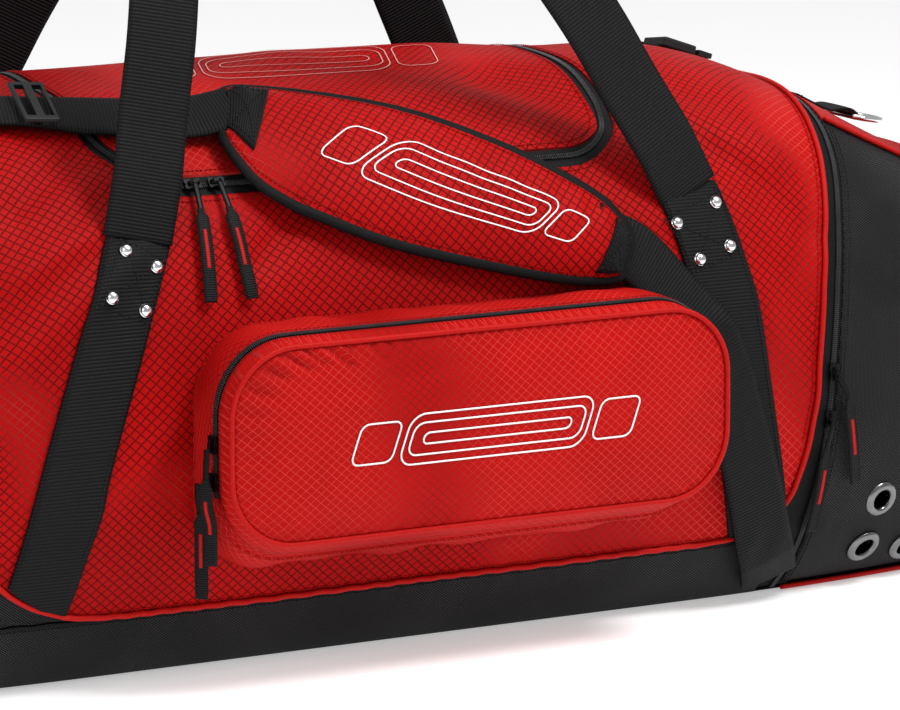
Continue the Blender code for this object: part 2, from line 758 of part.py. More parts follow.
# ---- carry handles --------------------------------------------------------------------------
STRAP_LEFT = [(-27, -0.3165), (-20, -0.3085), (-12, -0.2970), (0, -0.2850), (8.5, -0.2680),
              (14.3, -0.2575), (23.4, -0.2385), (35.5, -0.2235)]
STRAP_RIGHT = [(-27, 0.2845), (-20, 0.2770), (-12, 0.2680), (0, 0.2575), (8.5, 0.2490),
               (14.3, 0.2425), (23.4, 0.2360), (35.5, 0.2275)]


def seam_angle(x):
    """The lowest angle of the red wrap at x, where its bottom corners are rounded."""
    if x < 0:
        return table([(px, a) for a, px in reversed(WRAP_LEFT)], x)
    return table([(px, a) for a, px in WRAP_RIGHT], x)


def sewn_strap(name, line, rear):
    outer = []
    inner = []
    rows = ["start", "between", -15, -8, 0, 10, 20, 30, 35.5]
    for row in rows:
        for u in spread(-0.5, 0.5, 3):
            foot = table(line, -24) + u * WEB_WIDTH
            a = seam_angle(foot) + 2.2
            if row == "between":
                a = (a - 15) / 2
            elif row != "start":
                a = row
            xx = table(line, a) + u * WEB_WIDTH
            a = 180 - a if rear else a
            outer.append(lifted(xx, a, 0.0014 + WEB))
            inner.append(lifted(xx, a, 0.0014))
    return shell(name, "webbing", grid(len(rows), 4), outer, inner)


RIVET_SPOTS_LEFT = [(-0.237, 0.314), (-0.215, 0.303), (-0.254, 0.285), (-0.228, 0.275)]
RIVET_SPOTS_RIGHT = [(0.248, 0.313), (0.211, 0.301), (0.253, 0.282), (0.2255, 0.2745)]


def rivet_set(name, spots, rear):
    """Four domed rivets, joined by the raised thread of the box stitch that runs through them."""
    order = [spots[0], spots[1], spots[3], spots[2]]
    low = 0.0041
    mid_x = sum(s[0] for s in spots) / 4
    mid_z = sum(s[1] for s in spots) / 4
    centre_angle = angle_at(mid_x, mid_z)
    centre_angle = 180 - centre_angle if rear else centre_angle
    base = None
    corners = []
    for x, z in order:
        a = angle_at(x, z)
        corners.append((x, 180 - a if rear else a))
    outer = []
    inner = []
    ring = []
    for i in range(4):
        (x0, a0), (x1, a1) = corners[i], corners[(i + 1) % 4]
        for k in range(3):
            ring.append((x0 + (x1 - x0) * k / 3, a0 + (a1 - a0) * k / 3))
    mx = sum(p[0] for p in ring) / 12
    ma = sum(p[1] for p in ring) / 12
    for x, a in ring:
        for k in (1.04, 0.92):
            outer.append(lifted(mx + (x - mx) * k, ma + (a - ma) * k, low + 0.0008))
            inner.append(lifted(mx + (x - mx) * k, ma + (a - ma) * k, low))
    base = shell(name, "metal", grid(12, 2, close_rows=True), outer, inner)
    for i, (x, a) in enumerate(corners):
        mesh = bpy.data.meshes.new("dome")
        bm = bmesh.new()
        bmesh.ops.create_uvsphere(bm, u_segments=12, v_segments=8, radius=0.0048)
        for v in bm.verts:
            v.co.z = max(v.co.z * 0.62, -0.0002)
        bmesh.ops.remove_doubles(bm, verts=bm.verts, dist=1e-6)
        bm.to_mesh(mesh)
        bm.free()
        dome = bpy.data.objects.new(f"{name}_dome_{i}", mesh)
        cutters.objects.link(dome)
        dome.hide_render = True
        dome.display_type = "WIRE"
        dome.matrix_world = frame_at(x, a, low + 0.0004)
        cut(base, dome, "UNION")


for face, rear in (("front", False), ("rear", True)):
    sewn_strap(f"{face}_strap_left", STRAP_LEFT, rear)
    sewn_strap(f"{face}_strap_right", STRAP_RIGHT, rear)
    rivet_set(f"{face}_rivets_left", RIVET_SPOTS_LEFT, rear)
    rivet_set(f"{face}_rivets_right", RIVET_SPOTS_RIGHT, rear)


def handle_path(x_left, x_right, z0, y0, lean, top, slope, slope_right):
    """Centre line of a raised handle from one leg's foot to the other's."""
    points = []
    rise = top - z0
    for s in (0.0, 0.2, 0.4, 0.6, 0.76):
        points.append(Vector((x_left + slope * rise * s, y0 + lean * rise * s, z0 + rise * s)))
    reach = points[-1].x
    end = x_right - slope_right * rise * 0.76
    for k, lift in ((0.10, 0.87), (0.25, 0.955), (0.4, 0.99), (0.5, 1.0), (0.6, 0.99), (0.75, 0.955),
                    (0.90, 0.87)):
        points.append(Vector((reach + (end - reach) * k, y0 + lean * rise * lift, z0 + rise * lift)))
    for s in (0.76, 0.6, 0.4, 0.2, 0.0):
        points.append(Vector((x_right - slope_right * rise * s, y0 + lean * rise * s, z0 + rise * s)))
    return points


HANDLE_Z, HANDLE_Y, HANDLE_LEAN, HANDLE_TOP = 0.328, 0.1935, 0.27, 0.625


def handle(face, sign):
    slopes = (0.21, 0.58) if sign < 0 else (0.52, 0.52)
    path = handle_path(-0.2225, 0.2270, HANDLE_Z, sign * HANDLE_Y, -sign * HANDLE_LEAN, HANDLE_TOP, *slopes)
    out = Vector((0, sign, HANDLE_LEAN)).normalized()
    outer = []
    inner = []
    last = len(path) - 1
    for i, p in enumerate(path):
        along = (path[min(i + 1, last)] - path[max(i - 1, 0)]).normalized()
        side = along.cross(out).normalized()
        width = 0.030 if 6 <= i <= last - 6 else WEB_WIDTH
        for u in (-0.5, 0.5):
            outer.append(p + side * u * width + out * WEB / 2)
            inner.append(p + side * u * width - out * WEB / 2)
    shell(f"{face}_handle_loop", "webbing", grid(len(path), 2), outer, inner)
    # The padded sleeve round the middle of the loop, open at both ends.
    verts = []
    faces = []
    rings = path[6:last - 5]
    sides = 10
    count = len(rings)
    for layer, scale in ((0, 1.0), (1, 0.72)):
        for i, p in enumerate(rings):
            k = i + 6
            along = (path[k + 1] - path[k - 1]).normalized()
            side = along.cross(out).normalized()
            for m in range(sides):
                t = 2 * math.pi * m / sides
                verts.append(p + side * math.cos(t) * 0.0235 * scale + out * math.sin(t) * 0.0105 * scale)
    for layer in (0, 1):
        base = layer * count * sides
        for i in range(count - 1):
            for m in range(sides):
                j = (m + 1) % sides
                face_ids = [base + i * sides + m, base + i * sides + j, base + (i + 1) * sides + j,
                            base + (i + 1) * sides + m]
                faces.append(tuple(face_ids if layer == 0 else reversed(face_ids)))
    for i in (0, count - 1):
        for m in range(sides):
            j = (m + 1) % sides
            a, b = i * sides + m, i * sides + j
            faces.append((a, b, b + count * sides, a + count * sides))
    mesh = bpy.data.meshes.new(f"{face}_grip")
    mesh.from_pydata([tuple(v) for v in verts], [], faces)
    tidy(mesh)
    place(f"{face}_grip", mesh, "webbing")


handle("front", -1)
handle("rear", 1)

# ---- shoulder strap -------------------------------------------------------------------------
PAD_UPPER = [(-0.110, 72), (-0.060, 68), (0.010, 60), (0.074, 49), (0.114, 41), (0.148, 33.5), (0.166, 26)]
PAD_LOWER = [(-0.138, 54), (-0.125, 43), (-0.093, 36), (-0.035, 28.5), (0.044, 22.5), (0.105, 19), (0.150, 18)]
outer = []
inner = []
for k, (high, low) in enumerate(zip(PAD_UPPER, PAD_LOWER)):
    ends = 0.55 if k in (0, 6) else 1.0
    for u, puff in zip((0, 0.12, 0.35, 0.65, 0.88, 1), (0.0, 0.62, 1.0, 1.0, 0.62, 0.0)):
        x = low[0] + (high[0] - low[0]) * u
        a = low[1] + (high[1] - low[1]) * u
        outer.append(lifted(x, a, 0.0125 + 0.0115 * puff * ends))
        inner.append(lifted(x, a, 0.0080))
shell("shoulder_pad", "red_ripstop", grid(7, 6), outer, inner)
spine = [(-0.151, 63.2), (-0.168, 63.8), (-0.185, 64.5), (-0.220, 67), (-0.255, 69.5), (-0.300, 73),
         (-0.345, 77), (-0.390, 81), (-0.430, 85), (-0.452, 87)]
ribbon("shoulder_web_left", "webbing", spine, 0.047, 0.0080, WEB, 2)
spine = [(0.178, 21.8), (0.196, 20.5), (0.214, 16.6), (0.231, 11.8), (0.2445, 7), (0.254, 1.5),
         (0.2600, -4), (0.266, -13), (0.275, -20), (0.290, -28.8), (0.302, -36), (0.310, -41.5)]
ribbon("shoulder_web_right", "webbing", spine, 0.045, 0.0092, WEB, 2)

# Tri-glide adjuster: a flat frame round the left webbing.
matrix = frame_at(-0.262, 70.2, 0.0146, -0.18)
slide_frame = box("tri_glide", "plastic", (0.026, 0.060, 0.0036), matrix, 0.0012)
for offset in (-0.0065, 0.0065):
    name = "tri_glide_slot"
    slot = box(name, "plastic", (0.007, 0.049, 0.02), matrix @ Matrix.Translation((offset, 0, 0)))
    bag.objects.unlink(slot)
    cutters.objects.link(slot)
    slot.hide_render = True
    slot.display_type = "WIRE"
    cut(slide_frame, slot)


# ---- rings, hook and their tabs at the ends --------------------------------------------------
def d_ring(name, matrix, width=0.050, depth=0.034, wire=0.0026):
    """A D-ring: its straight bar along local X at the origin, its bow towards local +Y."""
    points = [Vector((x, 0, 0)) for x in spread(-width / 2 + 0.004, width / 2 - 0.004, 3)]
    for t in spread(0, 180, 12):
        r = math.radians(t)
        points.append(Vector((width / 2 * math.cos(r), 0.006 + (depth - 0.006) * math.sin(r), 0)))
    return tube(name, "metal", [matrix @ p for p in points], wire, 6, True)


def ring_tab(name, x, side, lift):
    """A webbing tab sewn flat on the crown, folded up and over the ring's bar."""
    rows = []
    for dx, up in ((-0.045, 0.0004), (-0.030, 0.0004), (-0.015, 0.0016), (-0.007, 0.0056), (0.000, 0.0094),
                   (0.0060, 0.0108), (0.0118, 0.0092)):
        rows.append((x + side * dx, up + lift))
    outer = []
    inner = []
    for i, (xx, up) in enumerate(rows):
        ahead = rows[min(i + 1, len(rows) - 1)]
        behind = rows[max(i - 1, 0)]
        flow = Vector((ahead[0] - behind[0], 0, ahead[1] - behind[1])).normalized()
        rise = Vector((-flow.z, 0, flow.x)) * side
        base = section(xx, 90)
        for y in spread(-0.019, 0.019, 2):
            p = Vector((xx, y, section(xx, top_angle_at(xx, -abs(y) - 1e-6)).z + up))
            inner.append(p)
            outer.append(p + rise * 0.0018)
    return shell(name, "webbing", grid(len(rows), 3), outer, inner)


RING_X = 0.468
for name, side in (("left", -1), ("right", 1)):
    lift = 0.0006 if side < 0 else 0.0030
    ring_tab(f"ring_tab_{name}", side * RING_X, side, lift)
    pivot = section(side * (RING_X + 0.003), 90) + Vector((side * 0.003, 0, 0.0048 + lift))
    matrix = Matrix.Translation(pivot) @ Matrix.Rotation(side * math.radians(11), 4, "Y") \
        @ Matrix.Rotation(-side * math.pi / 2, 4, "Z")
    d_ring(f"ring_{name}", matrix, 0.050, 0.034, 0.0023)

# ---- rear compression strap with its side-release buckle ------------------------------------
REAR_A, BUCKLE_X = 100.0, 0.342
spine = [(x, REAR_A) for x in (0.262, 0.282, 0.305, 0.325)]
ribbon("rear_strap_fixed", "webbing", spine, 0.025, 0.0008, 0.0016, 2)
frame_female = frame_at(BUCKLE_X, REAR_A, 0.0052)
female = box("buckle_socket", "plastic", (0.030, 0.034, 0.0080), frame_female, 0.0015)
pocket_cut = box("socket_hollow", "plastic", (0.024, 0.026, 0.0050),
                 frame_female @ Matrix.Translation((0.006, 0, 0)))
bag.objects.unlink(pocket_cut)
cutters.objects.link(pocket_cut)
pocket_cut.hide_render = True
pocket_cut.display_type = "WIRE"
cut(female, pocket_cut)
frame_male = frame_at(BUCKLE_X, REAR_A, 0.0052)
plug = bpy.data.meshes.new("plug")
outline = [(0.0015, -0.0110), (0.0180, -0.0110), (0.0180, -0.0165), (0.0300, -0.0165), (0.0300, 0.0165),
           (0.0180, 0.0165), (0.0180, 0.0110), (0.0015, 0.0110), (0.0015, 0.0070), (0.0140, 0.0060),
           (0.0140, -0.0060), (0.0015, -0.0070)]
count = len(outline)
verts = [(x, y, -0.0020) for x, y in outline] + [(x, y, 0.0020) for x, y in outline]
faces = [tuple(reversed(range(count))), tuple(range(count, 2 * count))]
for i in range(count):
    j = (i + 1) % count
    faces.append((i, j, j + count, i + count))
plug.from_pydata(verts, [], faces)
tidy(plug)
male = place("buckle_plug", plug, "plastic", smooth=False)
male.matrix_world = frame_male
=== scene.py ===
import math

import bmesh
import bpy
import numpy as np
from mathutils import Matrix, Vector


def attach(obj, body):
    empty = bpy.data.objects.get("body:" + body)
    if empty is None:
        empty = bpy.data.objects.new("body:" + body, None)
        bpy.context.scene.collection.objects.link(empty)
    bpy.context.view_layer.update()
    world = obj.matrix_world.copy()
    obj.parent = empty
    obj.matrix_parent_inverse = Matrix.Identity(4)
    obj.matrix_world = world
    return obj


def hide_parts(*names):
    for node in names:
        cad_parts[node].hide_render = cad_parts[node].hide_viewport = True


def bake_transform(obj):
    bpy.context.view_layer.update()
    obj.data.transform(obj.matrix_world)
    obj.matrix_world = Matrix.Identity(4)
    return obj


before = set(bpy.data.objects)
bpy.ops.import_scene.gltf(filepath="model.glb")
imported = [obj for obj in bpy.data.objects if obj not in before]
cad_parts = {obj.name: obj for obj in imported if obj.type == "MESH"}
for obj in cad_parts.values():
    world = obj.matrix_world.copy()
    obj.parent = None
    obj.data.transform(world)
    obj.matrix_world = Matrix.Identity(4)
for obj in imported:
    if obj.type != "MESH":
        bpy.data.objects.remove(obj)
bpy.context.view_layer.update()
TAU = 2 * math.pi


def add_object(name, data):
    obj = bpy.data.objects.new(name, data)
    bpy.context.scene.collection.objects.link(obj)
    return obj


# ---- camera ----
AZIMUTH, ELEVATION, DISTANCE = math.radians(-28), math.radians(11), 4.0
TARGET = Vector((0.0950, -0.0510, 0.1890))
back = Vector((math.sin(AZIMUTH) * math.cos(ELEVATION), -math.cos(AZIMUTH) * math.cos(ELEVATION),
               math.sin(ELEVATION)))
camera = add_object("camera", bpy.data.cameras.new("camera"))
camera.data.sensor_width = 36
camera.data.lens = 210.4
camera.data.clip_end = 60
camera.location = TARGET + back * DISTANCE
camera.rotation_euler = (-back).to_track_quat("-Z", "Y").to_euler()
bpy.context.scene.camera = camera
bpy.context.scene.view_settings.view_transform = "Standard"

# ---- the bag's surface: x along the bag, and an angle round it from the front over the top ----
CROWN, HALF_DEPTH, WAIST_Z, LOW_RADIUS = 0.410, 0.210, 0.18, 0.22
LOW_POWER, UP_POWER = 2.6, 2.35
END_ROUND_X, END_ROUND, END_CENTRE_Z, END_SHRINK = 0.50, 0.04, 0.15, 0.75
END_ARC = END_ROUND_X + END_ROUND * math.pi / 2
END_REACH = 0.16
BASE_TOP_Z = 0.055
CLOTH, TAPE_THICK, TAPE_SINK = 0.0022, 0.0012, -0.0012


def ease(k):
    k = np.clip(k, 0.0, 1.0)
    return k * k * (3 - 2 * k)


def unit(v):
    return v / np.maximum(np.linalg.norm(v, axis=-1, keepdims=True), 1e-9)


def height(x):
    return CROWN - 0.115 * ease((np.abs(x) - 0.27) / 0.33)


def half_depth(x):
    k = np.clip((np.abs(x) - 0.25) / 0.29, 0.0, 1.0)
    return HALF_DEPTH - 0.045 * k * k


def section(x, angle):
    """The bag's cross-section at x, without the rounded ends."""
    x, t = np.broadcast_arrays(np.asarray(x, float), np.radians(np.asarray(angle, float)))
    c, s = np.cos(t), np.sin(t)
    exponent = np.where(s < 0, 2 / LOW_POWER, 2 / UP_POWER)
    radius = np.where(s < 0, LOW_RADIUS, height(x) - WAIST_Z)
    y = -half_depth(x) * np.sign(c) * np.abs(c) ** exponent
    z = WAIST_Z + radius * np.sign(s) * np.abs(s) ** exponent
    return np.stack([x, y, np.maximum(z, 0)], -1)


def skin(x, angle):
    """The bag's surface; |x| beyond END_ROUND_X counts as arc length over the rounded end."""
    x, angle = np.broadcast_arrays(np.asarray(x, float), np.asarray(angle, float))
    over = np.maximum(np.abs(x) - END_ROUND_X, 0)
    turn = np.minimum(over / END_ROUND, math.pi / 2)
    rest = np.maximum(over - END_ROUND * math.pi / 2, 0)
    shrink = 1 - (1 - END_SHRINK) * (1 - np.cos(turn))
    shrink = np.where(rest > 0, np.maximum(END_SHRINK * (1 - rest / END_REACH), 0), shrink)
    flat = section(np.clip(x, -END_ROUND_X, END_ROUND_X), angle)
    z = END_CENTRE_Z + (flat[..., 2] - END_CENTRE_Z) * shrink
    x = np.where(over > 0, np.sign(x) * (END_ROUND_X + END_ROUND * np.sin(turn)), x)
    return np.stack([x, flat[..., 1] * shrink, z], -1)


def outward(x, angle):
    x, angle = np.asarray(x, float), np.asarray(angle, float)
    along = skin(x + 0.0015, angle) - skin(x - 0.0015, angle)
    around = skin(x, angle + 0.6) - skin(x, angle - 0.6)
    n = -np.cross(around, along)
    flat = np.linalg.norm(n, axis=-1, keepdims=True) < 1e-10
    return np.where(flat, np.sign(x)[..., None] * np.array([1.0, 0, 0]), unit(n))


def angle_at(x, z):
    """The angle at which the front reaches height z."""
    z = np.asarray(z, float)
    low = -(np.clip((WAIST_Z - z) / LOW_RADIUS, 0, 1) ** (LOW_POWER / 2))
    high = np.clip((z - WAIST_Z) / (height(x) - WAIST_Z), 0, 1) ** (UP_POWER / 2)
    return np.degrees(np.arcsin(np.where(z < WAIST_Z, low, high)))


def top_angle_at(x, y):
    """The angle at which the top lies over the plan position (x, y)."""
    angle = np.degrees(np.arccos(np.clip(np.abs(y) / half_depth(x), 0, 1) ** (UP_POWER / 2)))
    return np.where(np.asarray(y) < 0, angle, 180 - angle)


ARC_ANGLES = np.linspace(-92, 272, 365)
ARC_STEPS = np.linalg.norm(np.diff(section(0.0, ARC_ANGLES), axis=0), axis=1)
ARC_LENGTHS = np.concatenate([[0], np.cumsum(ARC_STEPS)])


def arc(angle):
    """Length round the bag up to an angle."""
    return np.interp(angle, ARC_ANGLES, ARC_LENGTHS)


# ---- folds in the cloth, as a height over the surface ----
rng = np.random.default_rng(11)
WAVES = [(rng.uniform(6, 26), rng.uniform(0, TAU), rng.uniform(0, TAU)) for _ in range(14)]

# x, angle, x, angle, width, height of each larger fold or dent
FOLD_LINES = [
    (-0.355, 10, -0.20, 36, 0.014, 0.0062),
    (-0.350, 26, -0.19, 44, 0.011, 0.0052),
    (-0.330, 40, -0.22, 62, 0.013, -0.0050),
    (-0.300, -14, -0.19, 4, 0.011, 0.0038),
    (-0.150, 24, -0.06, 46, 0.012, -0.0045),
    (0.100, 84, 0.215, 52, 0.034, -0.0110),
    (-0.34, 100, 0.235, 98, 0.045, 0.0085),
    (0.020, 66, 0.120, 56, 0.016, -0.0030),
    (0.215, 62, 0.330, 36, 0.016, 0.0052),
    (0.260, 20, 0.330, -6, 0.013, 0.0026),
    (0.240, 50, 0.350, 20, 0.013, -0.0040),
    (-0.100, -20, 0.120, -22, 0.009, 0.0028),
    (0.100, -14, 0.240, -24, 0.010, -0.0016),
    (-0.14, 80, 0.02, 96, 0.022, 0.0026),
    (0.40, 20, 0.50, -10, 0.020, 0.0026),
    (0.38, -20, 0.47, -34, 0.015, -0.0022),
    (-0.50, 30, -0.38, 10, 0.018, 0.0028),
    (-0.30, 140, -0.05, 160, 0.016, 0.0030),
    (0.05, 150, 0.30, 170, 0.018, -0.0030),
]


def ripple(u, v, scale=1.0):
    total = 0
    for k, direction, phase in WAVES:
        total = total + np.sin(scale * k * (u * math.cos(direction) + v * math.sin(direction)) + phase)
    return total / len(WAVES)


def ridge(x, v, x0, v0, x1, v1, width, lift):
    """A soft fold along a line from (x0, v0) to (x1, v1), fading at its ends."""
    dx, dv = x1 - x0, v1 - v0
    length = math.hypot(dx, dv)
    s = ((x - x0) * dx + (v - v0) * dv) / length**2
    across = ((x - x0) * dv - (v - v0) * dx) / length
    fade = np.clip(1 - np.abs(s - 0.5) * 2, 0, 1)
    return lift * np.exp(-((across / width) ** 2)) * ease(fade * 2.2)


def folds(x, angle):
    """Ripples, larger folds and the pucker of the wrap's lower seam, calm at the ends and base."""
    x, angle = np.broadcast_arrays(np.asarray(x, float), np.asarray(angle, float))
    v = arc(angle)
    h = 0.0022 * ripple(x, v) + 0.0008 * ripple(x + 3, v - 1, 2.6)
    for x0, a0, x1, a1, width, lift in FOLD_LINES:
        h = h + ridge(x, v, x0, arc(a0), x1, arc(a1), width, lift)
    seam_angle = -28.6
    from_seam = np.minimum(np.abs(angle - seam_angle), np.abs(180 - angle - seam_angle))
    pucker = 0.0007 * np.sin(x * TAU / 0.021 + 2 * np.sin(x * 31)) * (np.abs(x) < 0.36)
    h = h + np.exp(-from_seam * 0.35) * pucker
    return h * ease((0.50 - np.abs(x)) / 0.10) * ease((angle + 46) / 16) * ease((226 - angle) / 16)


def lifted(x, angle, off):
    x, angle = np.broadcast_arrays(np.asarray(x, float), np.asarray(angle, float))
    return skin(x, angle) + outward(x, angle) * (np.asarray(off) + folds(x, angle))[..., None]


def on_skin(x, angle, off):
    """Points at a height over the cloth, with their outward directions."""
    return lifted(x, angle, off), outward(*np.broadcast_arrays(x, angle))


# ---- node materials ----
class Nodes:
    """Short names for building one material's nodes."""

    def __init__(self, name):
        self.material = bpy.data.materials.new(name)
        self.material.use_nodes = True
        self.tree = self.material.node_tree

    def link(self, value, socket):
        if isinstance(value, bpy.types.NodeSocket):
            self.tree.links.new(value, socket)
        else:
            socket.default_value = value

    def add(self, kind, inputs=(), **attributes):
        node = self.tree.nodes.new(kind)
        for key, value in attributes.items():
            setattr(node, key, value)
        for key, value in dict(inputs).items():
            self.link(value, node.inputs[key])
        return node

    def math(self, operation, *values):
        return self.add("ShaderNodeMath", enumerate(values), operation=operation).outputs[0]

    def mul(self, a, b):
        return self.math("MULTIPLY", a, b)

    def sine(self, value, pitch):
        return self.math("SINE", self.mul(value, TAU / pitch))

    def uv(self):
        node = self.add("ShaderNodeUVMap", uv_map="UVMap")
        split = self.add("ShaderNodeSeparateXYZ", {0: node.outputs[0]})
        return split.outputs[0], split.outputs[1], node.outputs[0]

    def ramp(self, value, low, high, a=0.0, b=1.0):
        inputs = {0: value, 1: low, 2: high, 3: a, 4: b}
        return self.add("ShaderNodeMapRange", inputs, interpolation_type="SMOOTHSTEP").outputs[0]

    def mix(self, factor, a, b):
        a, b = (c if isinstance(c, bpy.types.NodeSocket) else (*c, 1.0) for c in (a, b))
        return self.add("ShaderNodeMix", {0: factor, 6: a, 7: b}, data_type="RGBA").outputs[2]

    def noise(self, vector, scale, detail=2.0, rough=0.5):
        inputs = {"Vector": vector, "Scale": scale, "Detail": detail, "Roughness": rough}
        return self.add("ShaderNodeTexNoise", inputs).outputs[0]

    def wobble(self, vector, scale, reach):
        """Noise about zero, which keeps woven threads from running dead straight."""
        return self.mul(self.math("SUBTRACT", self.noise(vector, scale, 1.0), 0.5), reach)

    def object_coords(self):
        return self.add("ShaderNodeTexCoord").outputs["Object"]

    def bump(self, value, distance, strength):
        inputs = {"Height": value, "Distance": distance, "Strength": strength}
        return self.add("ShaderNodeBump", inputs).outputs[0]

    def finish(self, **inputs):
        for key, value in inputs.items():
            self.link(value, self.tree.nodes["Principled BSDF"].inputs[key.replace("_", " ")])
        return self.material


def shade(colour, share):
    return tuple(c * share for c in colour)


def ripstop(name, ground, line, cell_w, cell_h, line_share, swap):
    """Coated cloth with a raised diamond grid of thicker thread, whose lines are dark, or lighter red as a
    painted glint where a noise picks them.
    """
    n = Nodes(name)
    u, v, vector = n.uv()
    wobble = n.wobble(vector, 90.0, 0.10)
    a = n.math("ADD", n.math("DIVIDE", u, cell_w), wobble)
    b = n.math("SUBTRACT", n.math("DIVIDE", v, cell_h), wobble)
    masks = []
    for kind in ("ADD", "SUBTRACT"):
        tooth = n.math("MULTIPLY_ADD", n.math("FRACT", n.math(kind, a, b)), 2.0, -1.0)
        masks.append(n.ramp(n.math("ABSOLUTE", tooth), 1 - line_share, 1 - line_share * 0.25))
    mask = n.math("MAXIMUM", *masks)
    weave = n.mul(n.sine(u, 0.0009), n.sine(v, 0.0009))
    cloud = n.noise(n.object_coords(), 9.0, 3.0, 0.55)
    base = n.mix(n.ramp(cloud, 0.30, 0.72), shade(ground, 0.84), shade(ground, 1.04))
    base = n.mix(n.ramp(n.noise(vector, 900.0, 1.0), 0.35, 0.75, 0.0, 0.22), base, shade(ground, 0.62))
    # Painted glint: where this noise passes swap, a line takes a lighter red in place of its dark colour.
    glint = n.ramp(n.noise(n.object_coords(), 5.0, 1.0), swap, swap + 0.14)
    thread = n.mix(glint, line, (ground[0] * 1.5, 0.036, 0.030))
    raised = n.math("MULTIPLY_ADD", weave, 0.10, n.mul(mask, 0.8))
    return n.finish(Base_Color=n.mix(n.mul(mask, 0.85), base, thread), Normal=n.bump(raised, 0.00045, 0.9),
                    Roughness=n.ramp(cloud, 0.3, 0.8, 0.50, 0.40), Specular_IOR_Level=0.045)


def coarse_nylon(name, low, high, pitch):
    """Heavy basket-woven cloth."""
    n = Nodes(name)
    u, v, vector = n.uv()
    wobble = n.wobble(vector, 160.0, 0.35)
    s = n.sine(n.math("ADD", n.math("DIVIDE", u, pitch), wobble), 1)
    t = n.sine(n.math("ADD", n.math("DIVIDE", v, pitch * 0.8), wobble), 1)
    basket = n.math("MULTIPLY_ADD", n.mul(s, t), 0.5, 0.5)
    cloud = n.noise(n.object_coords(), 11.0, 3.0)
    body = n.mul(n.ramp(basket, 0.70, 1.0), n.ramp(cloud, 0.25, 0.8, 0.35, 0.9))
    return n.finish(Base_Color=n.mix(body, low, high), Roughness=0.58, Normal=n.bump(basket, 0.0005, 0.8),
                    Specular_IOR_Level=0.10)


def webbing(name, low, high, pitch):
    """Ribbed webbing: ribs across the strap, broken into yarns along it."""
    n = Nodes(name)
    u, v, vector = n.uv()
    rib = n.math("ABSOLUTE", n.sine(v, 2 * pitch))
    yarn = n.math("MULTIPLY_ADD", n.sine(u, 0.0024), 0.16, 0.84)
    body = n.mul(n.mul(n.ramp(rib, 0.25, 1.0), yarn), n.ramp(n.noise(vector, 700.0), 0.2, 0.8, 0.72, 1.0))
    return n.finish(Base_Color=n.mix(body, low, high), Roughness=0.55, Normal=n.bump(body, 0.0007, 0.9),
                    Specular_IOR_Level=0.10)


def plain_cloth(name, low, high, pitch, rough=0.6):
    """Tightly woven tape, thread or lining with a faint diagonal."""
    n = Nodes(name)
    u, v, vector = n.uv()
    weave = n.math("MULTIPLY_ADD", n.sine(n.math("ADD", u, v), pitch), 0.22, 0.6)
    body = n.mul(weave, n.ramp(n.noise(vector, 500.0), 0.2, 0.8, 0.6, 1.2))
    return n.finish(Base_Color=n.mix(body, low, high), Roughness=rough, Normal=n.bump(body, 0.0003, 0.7),
                    Specular_IOR_Level=0.07)


def metal(name, colour, rough):
    n = Nodes(name)
    coords = n.object_coords()
    smudge = n.noise(coords, 160.0, 3.0)
    return n.finish(Base_Color=n.mix(n.ramp(smudge, 0.3, 0.8), shade(colour, 0.82), colour), Metallic=1.0,
                    Roughness=n.ramp(smudge, 0.2, 0.9, rough, rough + 0.16),
                    Normal=n.bump(n.noise(coords, 900.0), 0.00004, 0.4))


def moulded(name, colour, rough=0.42):
    n = Nodes(name)
    coords = n.object_coords()
    grain = n.noise(coords, 1400.0)
    tint = n.mix(n.ramp(n.noise(coords, 60.0), 0.3, 0.7), shade(colour, 0.7), colour)
    return n.finish(Base_Color=tint, Roughness=n.ramp(grain, 0.2, 0.8, rough, rough + 0.14),
                    Normal=n.bump(grain, 0.0001, 0.5), Specular_IOR_Level=0.3)


